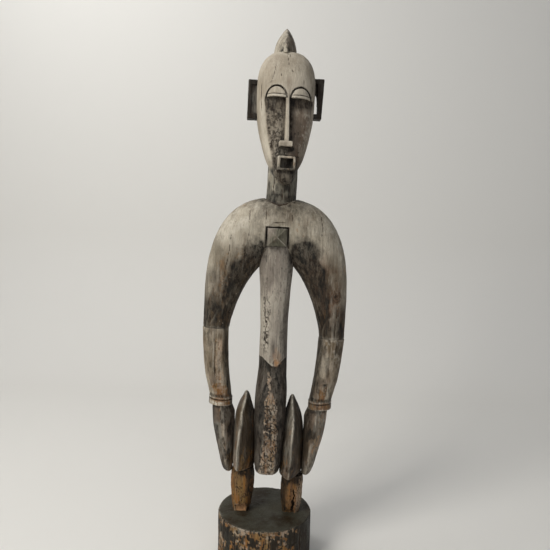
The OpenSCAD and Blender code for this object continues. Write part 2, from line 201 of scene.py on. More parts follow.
def cloud(v, size, seed, octaves=1, long=1):
    """Smooth noise from -1 to 1 with blobs of about size mm, drawn out long times along the grain."""
    total, weight, share = np.zeros(len(v)), 1.0, 0.0
    for octave in range(octaves):
        q = v / (size / 2**octave * np.array([1, 1, long])) + 97.0
        base = np.floor(q)
        t = q - base
        t = t * t * t * (t * (6 * t - 15) + 10)
        i = base.astype(np.int64)
        value = np.zeros(len(v))
        for corner in range(8):
            dx, dy, dz = corner & 1, corner >> 1 & 1, corner >> 2
            w = (
                (t[:, 0] if dx else 1 - t[:, 0])
                * (t[:, 1] if dy else 1 - t[:, 1])
                * (t[:, 2] if dz else 1 - t[:, 2])
            )
            value += w * scramble(i[:, 0] + dx, i[:, 1] + dy, i[:, 2] + dz, seed + octave)
        total += weight * (2 * value - 1)
        share += weight
        weight *= 0.55
    return total / share * 1.6


def plates(v, size, seed, long):
    """How far each point lies inside its plate of crackled crust: 0 on its edge, and up to about 1."""
    q = v / (size * np.array([1, 1, long])) + 31.0
    cell = np.floor(q).astype(np.int64)
    nearest, second = np.full(len(v), 9.0), np.full(len(v), 9.0)
    for shift in range(27):
        i = cell + np.array([shift % 3, shift // 3 % 3, shift // 9]) - 1
        spot = i + np.stack([scramble(i[:, 0], i[:, 1], i[:, 2], seed + k) for k in range(3)], axis=1)
        gap = np.linalg.norm(q - spot, axis=1)
        second = np.where(gap < nearest, nearest, np.minimum(second, gap))
        nearest = np.minimum(nearest, gap)
    return second - nearest


def step(value, low, high):
    """0 below low, 1 above high, and a smooth ramp between."""
    t = np.clip((value - low) / (high - low), 0, 1)
    return t * t * (3 - 2 * t)


def blotches(low, high, *noise):
    """Blobs of a cloud: 0 where its noise is below low and 1 where it is above high."""
    return step(cloud(*noise), low, high)


# ---------------------------------------------------------------- meshing

CORNERS = np.array([[c & 1, c >> 1 & 1, c >> 2 & 1] for c in range(8)])
EDGES = [(a, b) for a in range(8) for b in range(a + 1, 8) if (CORNERS[a] ^ CORNERS[b]).sum() == 1]


class Carving:
    """The mesh of one solid: its points, its faces with four corners, and what is painted on each point."""

    def __init__(self, points, quads):
        self.v = points
        self.quads = quads
        self.paint = {}
        sides = np.concatenate([quads[:, [0, 1]], quads[:, [1, 2]], quads[:, [2, 3]], quads[:, [3, 0]]])
        self.sides = np.unique(np.sort(sides, axis=1), axis=0)
        self.count = np.bincount(self.sides.ravel(), minlength=len(points))[:, None]

    def normals(self):
        a, b, c, d = (self.v[self.quads[:, i]] for i in range(4))
        flat = np.cross(c - a, d - b)
        n = np.stack(
            [
                np.bincount(self.quads.ravel(), np.repeat(flat[:, k], 4), len(self.v))
                for k in range(3)
            ],
            axis=1,
        )
        return n / (np.linalg.norm(n, axis=1, keepdims=True) + 1e-12)

    def soften(self, values, times):
        """Each point's value evened out with its neighbours'."""
        values = values.copy()
        flat = values.ndim == 1
        if flat:
            values = values[:, None]
        i, j = self.sides.T
        for _ in range(times):
            near = np.stack(
                [
                    np.bincount(i, values[j, k], len(self.v)) + np.bincount(j, values[i, k], len(self.v))
                    for k in range(values.shape[1])
                ],
                axis=1,
            )
            values = 0.4 * values + 0.6 * near / self.count
        return values[:, 0] if flat else values

    def swell(self, times=14):
        """How far each point stands out of its surroundings, in mm: ridges above 0, hollows below."""
        return ((self.v - self.soften(self.v, times)) * self.normals()).sum(axis=1)

    def push(self, amount, normals=None):
        self.v = self.v + (self.normals() if normals is None else normals) * np.asarray(amount)[:, None]


def mesh_solid(field, low, high, cell):
    """Meshes the surface where field(p) is 0, with cells of the given size."""
    axes = [np.arange(low[i] - 2.5 * cell, high[i] + 3.5 * cell, cell) for i in range(3)]
    grid = np.meshgrid(*axes, indexing="ij")
    d = field(grid)
    inside = d < 0
    shape = np.array(d.shape) - 1

    def at(values, offset):
        return values[tuple(slice(o, o + s) for o, s in zip(offset, shape))]

    filled = sum(at(inside, c).astype(np.uint8) for c in CORNERS)
    mixed = (filled > 0) & (filled < 8)
    cells = np.argwhere(mixed)
    number = np.full(mixed.shape, -1, np.int64)
    number[mixed] = np.arange(len(cells))
    values = [d[tuple((cells + c).T)] for c in CORNERS]
    total, hits = np.zeros((len(cells), 3)), np.zeros(len(cells))
    for a, b in EDGES:
        crossed = (values[a] < 0) != (values[b] < 0)
        t = values[a] / np.where(crossed, values[a] - values[b], 1)
        total += np.where(crossed[:, None], CORNERS[a] + (CORNERS[b] - CORNERS[a]) * t[:, None], 0)
        hits += crossed
    points = np.array([a[0] for a in axes]) + (cells + total / hits[:, None]) * cell

    quads = []
    for axis in range(3):
        u, w = (axis + 1) % 3, (axis + 2) % 3
        here = [slice(1, s) for s in shape]
        here[axis] = slice(0, shape[axis])
        ahead = list(here)
        ahead[axis] = slice(1, shape[axis] + 1)
        start, end = inside[tuple(here)], inside[tuple(ahead)]
        at_cell = np.argwhere(start != end)
        leaving = start[tuple(at_cell.T)]
        for i in range(3):
            if i != axis:
                at_cell[:, i] += 1
        ring = []
        for du, dw in ((1, 1), (0, 1), (0, 0), (1, 0)):
            c = at_cell.copy()
            c[:, u] -= du
            c[:, w] -= dw
            ring.append(number[tuple(c.T)])
        ring = np.stack(ring, axis=1)
        ring[~leaving] = ring[~leaving][:, ::-1]
        quads.append(ring)
    carving = Carving(points, np.concatenate(quads))
    settle(carving, field, cell)
    return carving


def settle(carving, field, cell, times=2):
    """Moves each point onto the true surface."""
    nudge = 0.05 * cell
    for _ in range(times):
        p = carving.v
        here = field([p[:, i] for i in range(3)])
        slope = np.empty_like(p)
        for i in range(3):
            q = [p[:, k] + (nudge if k == i else 0) for k in range(3)]
            slope[:, i] = (field(q) - here) / nudge
        size = np.maximum((slope**2).sum(axis=1), 0.2)
        move = -slope * (here / size)[:, None]
        far = np.linalg.norm(move, axis=1, keepdims=True)
        carving.v = p + move * np.minimum(1, 0.6 * cell / (far + 1e-9))


# ---------------------------------------------------------------- what tools, weather and hands do

def adze(carving, stroke, depth, seed, long):
    """Flattens the surface into an adze's or a knife's facets, stroke mm wide and long times as long."""
    v, n = carving.v, carving.normals()
    area = len(v) * np.median(np.linalg.norm(v[carving.sides[:, 0]] - v[carving.sides[:, 1]], axis=1)) ** 2
    count = int(np.clip(area / (stroke * stroke * long), 8, 900))
    seeds = np.random.default_rng(seed).choice(len(v), min(count, len(v)), replace=False)
    squash = np.array([1, 1, 1 / long])
    sv, sn = v[seeds] * squash, n[seeds]
    nearest = np.empty(len(v), np.int64)
    at_once = 20000
    for start in range(0, len(v), at_once):
        part = slice(start, start + at_once)
        squashed = v[part] * squash
        gap = (squashed**2).sum(axis=1)[:, None] - 2 * squashed @ sv.T + (sv**2).sum(axis=1)
        gap += stroke**2 * 2.5 * (1 - n[part] @ sn.T)
        nearest[part] = gap.argmin(axis=1)
    lift = ((v[seeds][nearest] - v) * sn[nearest]).sum(axis=1)
    facing = (n * sn[nearest]).sum(axis=1)
    lift = np.where(facing > 0.6, np.clip(lift, -2 * depth, 0.6 * depth), 0)
    carving.push(carving.soften(lift * 0.75, 1), sn[nearest])
    carving.paint["facet"] = scramble(nearest, nearest * 7, nearest * 13, seed)


def crack(carving, path, width, depth, seed, facing=-1):
    """A drying crack along a path of (across, height) points on the front (facing -1) or the back (1)."""
    v = carving.v
    u, h = v[:, 0] + 0.5 * cloud(v, 9, seed), v[:, 2]
    out = carving.normals()[:, 1] * facing
    best = np.full(len(v), 1e9)
    taper = np.zeros(len(v))
    length = np.concatenate([[0], np.cumsum([math.dist(a, b) for a, b in zip(path, path[1:])])])
    for k, (a, b) in enumerate(zip(path, path[1:])):
        ab = np.subtract(b, a)
        t = np.clip(((u - a[0]) * ab[0] + (h - a[1]) * ab[1]) / (ab @ ab), 0, 1)
        gap = np.hypot(u - a[0] - t * ab[0], h - a[1] - t * ab[1])
        along = (length[k] + t * (length[k + 1] - length[k])) / length[-1]
        closer = gap < best
        best = np.where(closer, gap, best)
        taper = np.where(closer, np.sin(np.pi * np.clip(along, 0.03, 0.97)) ** 0.5, taper)
    open_width = width * taper * (1 + 0.35 * cloud(v, 6, seed + 5))
    inside = np.clip(1 - best / (open_width + 1e-6), 0, 1) * (out > 0.1)
    carving.push(-depth * inside)
    carving.paint["crack"] = np.maximum(carving.paint.get("crack", 0), step(inside, 0.0, 0.5))


RIDGE_MM, HOLLOW_MM = 0.55, 1.6  # how far out a full ridge stands, and how deep a full hollow lies


def weather(carving, seed, grain):
    """Raised grain all over, and the ridges and hollows marked for the finish."""
    v = carving.v
    ripple = cloud(v, 2.6, seed, 2, 14) * grain
    ripple += cloud(v, 9, seed + 3, 2, 3) * grain * 1.2
    carving.push(ripple)
    swell = carving.swell()
    wide = carving.swell(60)
    carving.paint["ridge"] = np.clip(swell / RIDGE_MM, 0, 1) ** 1.2
    carving.paint["hollow"] = np.clip(-wide / HOLLOW_MM, 0, 1)


def flake(carving, where, size, depth, seed, long):
    """Breaks a crust of patina away in flakes with sharp edges. where runs from 0, sound, to 1, gone."""
    v = carving.v
    value = 0.62 * cloud(v, size, seed, 4, long) + 0.22 * cloud(v, size / 5, seed + 9, 2, 2)
    gone = step(value + 1.9 * np.clip(where, 0, 1) - 0.95, -0.035, 0.035)
    gone = gone * (np.asarray(where) > 0.02)
    carving.push(-depth * carving.soften(gone, 1))
    carving.paint["bare"] = np.maximum(carving.paint.get("bare", 0), gone)


# the dark paint holds real soot and also painted shade under and between parts, in grooves and on faces
# turned from the light
PAINTS = ("ridge", "hollow", "facet", "crack", "bare", "soot_and_shade", "brown", "fresh", "pale")


def to_piece(name, carving, stand, material, replaces, flakes=None):
    """Makes the finished mesh object, standing in its place, hangs it on the body and hides the frame's
    parts that it replaces.
    flakes gives how many flakes of crust a square centimetre of bare wood keeps, and their length."""
    spot = np.array(stand)
    points = (carving.v @ spot[:3, :3].T + spot[:3, 3]) * MM
    mesh = bpy.data.meshes.new(name)
    quads = carving.quads
    mesh.vertices.add(len(points))
    mesh.vertices.foreach_set("co", points.ravel())
    mesh.loops.add(quads.size)
    mesh.loops.foreach_set("vertex_index", quads.ravel().astype(np.int32))
    mesh.polygons.add(len(quads))
    mesh.polygons.foreach_set("loop_start", np.arange(0, quads.size, 4, dtype=np.int32))
    mesh.polygons.foreach_set("use_smooth", np.ones(len(quads), bool))
    mesh.update(calc_edges=True)
    if mesh.validate():
        raise RuntimeError(f"the mesh of {name} had faults")
    for paint in PAINTS:
        values = np.broadcast_to(np.asarray(carving.paint.get(paint, 0.0), float), len(points))
        layer = mesh.attributes.new(paint, "FLOAT", "POINT")
        layer.data.foreach_set("value", np.ascontiguousarray(values, np.float32))
    mesh.materials.append(material)
    piece = bpy.data.objects.new(name, mesh)
    bpy.context.scene.collection.objects.link(piece)
    if flakes:
        scatter_flakes(piece, *flakes, sizes().crust * 2.4, sizes().seed)
    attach(piece, BODY)
    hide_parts(*replaces)
    return piece


# ---------------------------------------------------------------- sizes and colours

def hex_colour(code):
    """An sRGB hex colour as linear light."""
    values = [int(code[i:i + 2], 16) / 255 for i in (0, 2, 4)]
    return tuple(c / 12.92 if c <= 0.04045 else ((c + 0.055) / 1.055) ** 2.4 for c in values)


def colour(name, code, words):
    return FloatVectorProperty(name=name, description=words, subtype="COLOR", size=3, min=0, max=1,
                               default=hex_colour(code))


def measure(name, words, usual, low, high):
    return FloatProperty(name=name, description=words, default=usual, min=low, max=high)


class FigureSizes(bpy.types.PropertyGroup):
    """Sizes of the tool marks and of the wear."""
    cell: measure("Cell", "Size of the mesh's cells, in mm", 1.45, 0.8, 4)
    fine_cell: measure("Fine cell", "Size of the cells on the head and small pieces, in mm", 1.15, 0.6, 3)
    stroke: measure("Adze stroke", "Width of a tool facet, in mm", 15, 4, 40)
    bite: measure("Adze bite", "Depth of a tool facet, in mm", 0.6, 0, 2)
    crust: measure("Crust", "Thickness of the flaking patina, in mm", 0.5, 0, 2)
    seed: IntProperty(name="Seed", description="Which set of marks is drawn", default=4, min=0, max=999)


class FigureColours(bpy.types.PropertyGroup):
    """Colours of the wood and of its patina."""
    head: colour("Head wood", "AFA390", "Dry grey-beige wood of the head")
    chest: colour("Chest wood", "938977", "Grey-beige wood of the chest and shoulders")
    trunk: colour("Trunk wood", "8C8277", "Pinkish grey wood of the trunk")
    arm: colour("Forearm wood", "84735C", "Grey-brown wood of the forearms")
    thigh: colour("Thigh wood", "5E4F3B", "Dark brown-green patina of the thighs")
    hand: colour("Hand wood", "5F5140", "Brown-green patina of the hands")
    neck: colour("Neck wood", "625F50", "Grey-green patina of the neck")
    ear: colour("Ear wood", "35332D", "Near black patina of the ears")
    base: colour("Base wood", "33291A", "Dark olive patina of the base")
    # this palest colour paints weathered fibres and also the painted highlights on faces turned to the
    # light
    silvered_and_highlight: colour("Silvered wood", "C6BEAE", "The palest, most weathered fibres")
    brown: colour("Brown wood", "5B4938", "Brown wood that shows through the grey")
    # this dark paints the charcoal patina and also the painted shade under the arms, in grooves and on
    # faces turned from the light
    soot_and_shade: colour("Soot and shade", "211F1B", "Charcoal patina in hollows and under the arms")
    bare: colour("Bare wood", "8B5E2D", "Wood with its patina worn off")
    ochre: colour("Ochre crust", "86683F", "Yellowed remains of patina")
    fresh: colour("Fresh wood", "C09268", "Orange wood inside a new chip")
    rose: colour("Rose wood", "6E5440", "Reddish wood in cracks and at the hip's foot")


def sizes():
    return bpy.context.scene.figure_sizes


def colours():
    return bpy.context.scene.figure_colours


# ---------------------------------------------------------------- finishes

def add(tree, kind, settings=None, links=None):
    """Adds a node with its settings. Each input in links is linked to a socket or given a value."""
    node = tree.nodes.new(kind)
    for key, value in (settings or {}).items():
        if isinstance(key, int) or key in node.inputs:
            node.inputs[key].default_value = value
        else:
            setattr(node, key, value)
    for key, source in (links or {}).items():
        if isinstance(source, bpy.types.NodeSocket):
            tree.links.new(source, node.inputs[key])
        else:
            node.inputs[key].default_value = source
    return node


def lit(rgb, share=1.0):
    """An opaque colour with its light multiplied by share."""
    return (*(share * x for x in tuple(rgb)[:3]), 1.0)


LAYER = {"data_type": "RGBA", "blend_type": "MIX"}
GRAIN = (  # pattern, grain size in mm, how far it is drawn out along the trunk, detail, roughness, shift
    ("streaks", 2.4, 16, 5, 0.62, 0.0),
    ("fibres", 0.9, 30, 3, 0.7, 0.3),
    ("blotch", 26, 2.2, 5, 0.62, 0.7),
    ("patch", 11, 3.0, 5, 0.65, 1.9),
    ("specks", 2.6, 1.7, 3, 0.75, 2.7),
    ("crumbs", 4.2, 2.6, 6, 0.78, 5.1),
    ("veins", 6.5, 20, 3, 0.55, 3.3),
    ("crust", 6, 5, 4, 0.6, 4.4),
)


def aged_hardwood(name, sound, pale=None, speck=0.4, sheen=0.62, warm=0.35, wear=0.9, mottle=0.35,
                  fissures=0.5, grain=0.7):
    """Iroko-like hardwood, hand cut and handled for decades: long grain streaks, blotches where the patina
    is thicker, soot in the hollows, painted shade where a piece paints it dark, pale fibres on the ridges,
    painted highlights where a piece paints it pale, and bare wood where the crust has gone."""
    c = colours()
    brown, soot_and_shade, silvered_and_highlight, rose, fresh = (lit(x) for x in (c.brown, c.soot_and_shade, c.silvered_and_highlight, c.rose, c.fresh))
    pale = lit(pale) if pale else lit(0.6 * x + 0.4 * y for x, y in zip(sound, silvered_and_highlight))
    material = bpy.data.materials.new(name)
    material.use_nodes = True
    tree = material.node_tree
    tree.nodes.clear()
    place = add(tree, "ShaderNodeTexCoord").outputs["Object"]

    # what is painted on the piece, and the patterns of the wood, each with a real grain size
    value = {}
    for paint in PAINTS:
        value[paint] = add(tree, "ShaderNodeAttribute", {"attribute_name": paint}).outputs["Fac"]
    for pattern, size_mm, stretch, detail, rough, shift in GRAIN:
        placed = {"Location": (shift, shift, shift), "Scale": (1, 1, 1 / stretch)}
        run = add(tree, "ShaderNodeMapping", placed, {"Vector": place}).outputs[0]
        noise = {"Scale": 0.5 / (size_mm * MM), "Detail": detail, "Roughness": rough}
        value[pattern] = add(tree, "ShaderNodeTexNoise", noise, {"Vector": run}).outputs["Fac"]

    # where each pattern starts to show, where it is full, and how strong it then is
    for mask, pattern, start, full, strength in (
        ("blotched", "blotch", 0.38, 0.60, 1.0),
        ("warmed", "patch", 0.52, 0.70, warm),
        ("browned", "patch", 0.62, 0.38, 1.0),
        ("rosy", "blotch", 0.45, 0.60, 1.0),
        ("dark streaks", "streaks", 0.50, 0.68, 0.6 * grain),
        ("pale streaks", "streaks", 0.47, 0.32, 0.35 * grain),
        ("ochred", "crust", 0.44, 0.58, 1.0),
        ("brown streaks", "streaks", 0.46, 0.60, 0.7),
        ("rose blotches", "blotch", 0.50, 0.62, 0.5),
        ("pale crumbs", "crumbs", 0.36, 0.50, 1.0),
        ("rubbed", "crumbs", 0.40, 0.62, 0.35),
        ("sooty", "patch", 0.40, 0.60, 1.0),
        ("worn patches", "patch", 0.36, 0.58, wear),
        ("worn streaks", "streaks", 0.42, 0.58, 1.0),
        ("fresh fibres", "fibres", 0.40, 0.62, 1.0),
        ("flecks", "crumbs", 0.575, 0.625, mottle),
        ("split patches", "patch", 0.40, 0.54, fissures),
        ("speckled", "specks", 0.60, 0.68, speck),
        ("fibred", "fibres", 0.34, 0.66, 1.0),
    ):
        ramp = {"interpolation_type": "SMOOTHSTEP", 1: start, 2: full, 4: strength}
        value[mask] = add(tree, "ShaderNodeMapRange", ramp, {0: value[pattern]}).outputs[0]

    # shares that come from more than one thing, each held between 0 and 1
    for share, operation, first, second in (
        ("browned", "ADD", "browned", 0.45),
        ("browned", "MULTIPLY", "brown", "browned"),
        ("palest", "MULTIPLY", "pale", "pale crumbs"),
        # the dark share: soot and painted shade, with patina in the hollows, less where crumbs are rubbed
        ("deep", "MULTIPLY", "hollow", 0.7),
        ("deep", "ADD", "soot_and_shade", "deep"),
        ("deep", "MULTIPLY", "deep", 1.35),
        ("grime_and_shade", "SUBTRACT", "deep", "rubbed"),
        ("covered", "MULTIPLY", "soot_and_shade", 0.75),
        ("open", "SUBTRACT", 1.0, "covered"),
        ("worn", "MULTIPLY", "ridge", "worn patches"),
        ("worn", "MULTIPLY", "worn", "open"),
    ):
        value[share] = add(tree, "ShaderNodeMath", {"operation": operation, "use_clamp": True},
                           {0: value.get(first, first), 1: value.get(second, second)}).outputs[0]

    # thin dark splits run where the veins cross their middle value
    off = add(tree, "ShaderNodeMath", {"operation": "SUBTRACT"}, {0: value["veins"], 1: 0.5}).outputs[0]
    off = add(tree, "ShaderNodeMath", {"operation": "ABSOLUTE"}, {0: off}).outputs[0]
    lines = add(tree, "ShaderNodeMapRange", {"interpolation_type": "SMOOTHSTEP", 1: 0.011, 2: 0.003},
                {0: off}).outputs[0]
    value["splits"] = add(tree, "ShaderNodeMath", {"operation": "MULTIPLY"},
                          {0: lines, 1: value["split patches"]}).outputs[0]

    # coats that are themselves mottled from one colour to another
    coat = {}
    for coat_name, share, first, second in (
        ("brown", value["rosy"], brown, lit(rose, 0.8)),
        ("soot_and_shade", value["sooty"], lit(soot_and_shade, 0.62), lit(brown, 0.2)),
        ("worn", value["worn streaks"], silvered_and_highlight, pale),
        ("fresh", value["fresh fibres"], fresh, lit(fresh, 0.62)),
        ("crack", 0.5, lit(soot_and_shade, 0.7), lit(rose, 0.4)),
        ("fibre", value["fibred"], (0.5, 0.5, 0.5, 1.0), (1.1, 1.1, 1.1, 1.0)),
    ):
        coat[coat_name] = add(tree, "ShaderNodeMix", LAYER, {0: share, 6: first, 7: second}).outputs[2]

    # the sound patina, and the wood that shows where the patina has gone
    patina, bared = lit(sound, 0.78), lit(c.bare)
    for share, over in (
        ("blotched", pale), ("warmed", brown), ("browned", coat["brown"]),
        ("dark streaks", lit(sound, 0.42)), ("pale streaks", pale),
    ):
        patina = add(tree, "ShaderNodeMix", LAYER, {0: value[share], 6: patina, 7: over}).outputs[2]
    for share, over in (("ochred", lit(c.ochre)), ("brown streaks", brown), ("rose blotches", rose)):
        bared = add(tree, "ShaderNodeMix", LAYER, {0: value[share], 6: bared, 7: over}).outputs[2]
    tone = add(tree, "ShaderNodeMapRange", {3: 0.86, 4: 1.14}, {0: value["facet"]}).outputs[0]
    toned = add(tree, "ShaderNodeHueSaturation", {}, {"Value": tone, "Color": patina}).outputs[0]

    # wear, dirt and painted shade, from the first to come to the last
    for share, over in (
        ("bare", bared), ("palest", silvered_and_highlight), ("grime_and_shade", coat["soot_and_shade"]), ("worn", coat["worn"]),
        ("fresh", coat["fresh"]), ("flecks", lit(soot_and_shade, 1.3)), ("splits", lit(soot_and_shade, 0.9)),
        ("speckled", lit(soot_and_shade, 0.6)), ("crack", coat["crack"]),
    ):
        toned = add(tree, "ShaderNodeMix", LAYER, {0: value[share], 6: toned, 7: over}).outputs[2]
    toned = add(tree, "ShaderNodeMix", {"data_type": "RGBA", "blend_type": "MULTIPLY"},
                {0: 0.2 + 0.3 * grain, 6: toned, 7: coat["fibre"]}).outputs[2]

    height = 0.0
    for pattern, depth in (
        ("streaks", 0.7), ("fibres", 0.5), ("flecks", -0.35), ("splits", -0.6), ("specks", -0.3),
    ):
        height = add(tree, "ShaderNodeMath", {"operation": "MULTIPLY_ADD"},
                     {0: value[pattern], 1: depth, 2: height}).outputs[0]
    bump = add(tree, "ShaderNodeBump", {"Strength": 0.9, "Distance": 0.0012}, {"Height": height}).outputs[0]
    rough = add(tree, "ShaderNodeMapRange", {1: 0.35, 2: 0.65, 3: sheen - 0.08, 4: sheen + 0.16},
                {0: value["patch"]}).outputs[0]
    shader = add(tree, "ShaderNodeBsdfPrincipled", {"IOR": 1.45, "Specular IOR Level": 0.2},
                 {"Base Color": toned, "Roughness": rough, "Normal": bump})
    add(tree, "ShaderNodeOutputMaterial", {}, {"Surface": shader.outputs[0]})
    return material


# ---------------------------------------------------------------- crust flakes

def flake_tree():
    """A node group that scatters thin, ragged flakes of old crust over the parts painted bare."""
    tree = bpy.data.node_groups.new("crust_flakes", "GeometryNodeTree")
    face = tree.interface
    face.new_socket("Geometry", in_out="INPUT", socket_type="NodeSocketGeometry")
    face.new_socket("Density", in_out="INPUT", socket_type="NodeSocketFloat")
    face.new_socket("Length", in_out="INPUT", socket_type="NodeSocketFloat")
    face.new_socket("Thickness", in_out="INPUT", socket_type="NodeSocketFloat")
    face.new_socket("Seed", in_out="INPUT", socket_type="NodeSocketInt")
    face.new_socket("Material", in_out="INPUT", socket_type="NodeSocketMaterial")
    face.new_socket("Geometry", in_out="OUTPUT", socket_type="NodeSocketGeometry")
    given = add(tree, "NodeGroupInput").outputs
    bare = add(tree, "GeometryNodeInputNamedAttribute", {"data_type": "FLOAT", "Name": "bare"}).outputs[0]
    crowd = add(tree, "ShaderNodeMath", {"operation": "MULTIPLY"}, {0: bare, 1: given["Density"]})
    spread = add(tree, "GeometryNodeDistributePointsOnFaces", {},
                 {"Mesh": given["Geometry"], "Density": crowd.outputs[0], "Seed": given["Seed"]})
    outward = add(tree, "FunctionNodeAlignRotationToVector", {"axis": "Z"},
                  {"Vector": spread.outputs["Normal"]})
    upright = add(tree, "FunctionNodeAlignRotationToVector",
                  {"axis": "Y", "pivot_axis": "Z", "Vector": (0, 0, 1)}, {"Rotation": outward.outputs[0]})
    size = add(tree, "FunctionNodeRandomValue", {"data_type": "FLOAT_VECTOR"}, {"Seed": given["Seed"]})
    size.inputs[0].default_value = (0.16, 0.35, 1.0)
    size.inputs[1].default_value = (0.60, 1.0, 1.0)
    squash = add(tree, "ShaderNodeCombineXYZ", {},
                 {0: given["Length"], 1: given["Length"], 2: given["Thickness"]})
    scale = add(tree, "ShaderNodeVectorMath", {"operation": "MULTIPLY"},
                {0: size.outputs[0], 1: squash.outputs[0]})
    chip = add(tree, "GeometryNodeMeshIcoSphere", {"Radius": 1.0, "Subdivisions": 2})
    jitter = add(tree, "ShaderNodeTexNoise", {"noise_dimensions": "3D", "Scale": 1.7, "Detail": 2.0})
    shift = add(tree, "ShaderNodeVectorMath", {"operation": "SUBTRACT", 1: (0.5, 0.5, 0.5)},
                {0: jitter.outputs["Color"]})
    ragged = add(tree, "GeometryNodeSetPosition", {},
                 {"Geometry": chip.outputs[0], "Offset": shift.outputs[0]})
    flakes = add(tree, "GeometryNodeInstanceOnPoints", {}, {
        "Points": spread.outputs["Points"], "Instance": ragged.outputs[0], "Rotation": upright.outputs[0],
        "Scale": scale.outputs[0]})
    solid = add(tree, "GeometryNodeRealizeInstances", {}, {"Geometry": flakes.outputs[0]}).outputs[0]
    for paint, value in (("bare", 0.0), ("soot_and_shade", 0.35), ("ridge", 0.15)):
        painted = {"data_type": "FLOAT", "Name": paint, "Value": value}
        solid = add(tree, "GeometryNodeStoreNamedAttribute", painted, {"Geometry": solid}).outputs[0]
    both_parts = add(tree, "GeometryNodeJoinGeometry").inputs[0]
    tree.links.new(solid, both_parts)
    tree.links.new(given["Geometry"], both_parts)
    covered = add(tree, "GeometryNodeSetMaterial", {}, {"Geometry": both_parts.node.outputs[0],
                                                       "Material": given["Material"]})
    add(tree, "NodeGroupOutput", {}, {0: covered.outputs[0]})
    return tree


def scatter_flakes(piece, per_cm2, length_mm, thick_mm, seed):
    """Adds crust flakes to a piece, and leaves one plain mesh."""
    tree = bpy.data.node_groups.get("crust_flakes") or flake_tree()
    modifier = piece.modifiers.new("crust flakes", "NODES")
    modifier.node_group = tree
    names = {item.name: item.identifier for item in tree.interface.items_tree if item.in_out == "INPUT"}
    for name, value in (
        ("Density", per_cm2 * 1e4), ("Length", length_mm * MM / 2), ("Thickness", thick_mm * MM / 2),
        ("Seed", seed), ("Material", piece.data.materials[0]),
    ):
        modifier[names[name]] = value
    bpy.context.view_layer.update()
    old = piece.data
    mesh = bpy.data.meshes.new_from_object(piece.evaluated_get(bpy.context.evaluated_depsgraph_get()))
    piece.modifiers.remove(modifier)
    piece.data = mesh
    mesh.name = old.name
    bpy.data.meshes.remove(old)


# ---------------------------------------------------------------- the pieces

def dress(carving, seed, stroke, bite, grain, long):
    """Tool facets, then raised grain. stroke and bite are shares of the figure's usual ones."""
    s = sizes()
    adze(carving, s.stroke * stroke, s.bite * bite, s.seed + seed, long)
    weather(carving, s.seed + seed, grain)


BASE_CRACKS = (  # turn round the drum from the front, lowest and highest height, and width
    (-0.62, 8, 70, 1.5), (0.1, 0, 46, 1.2), (0.85, 20, 86, 1.8), (2.4, 0, 80, 2.2), (-2.2, 10, 88, 2.0),
)


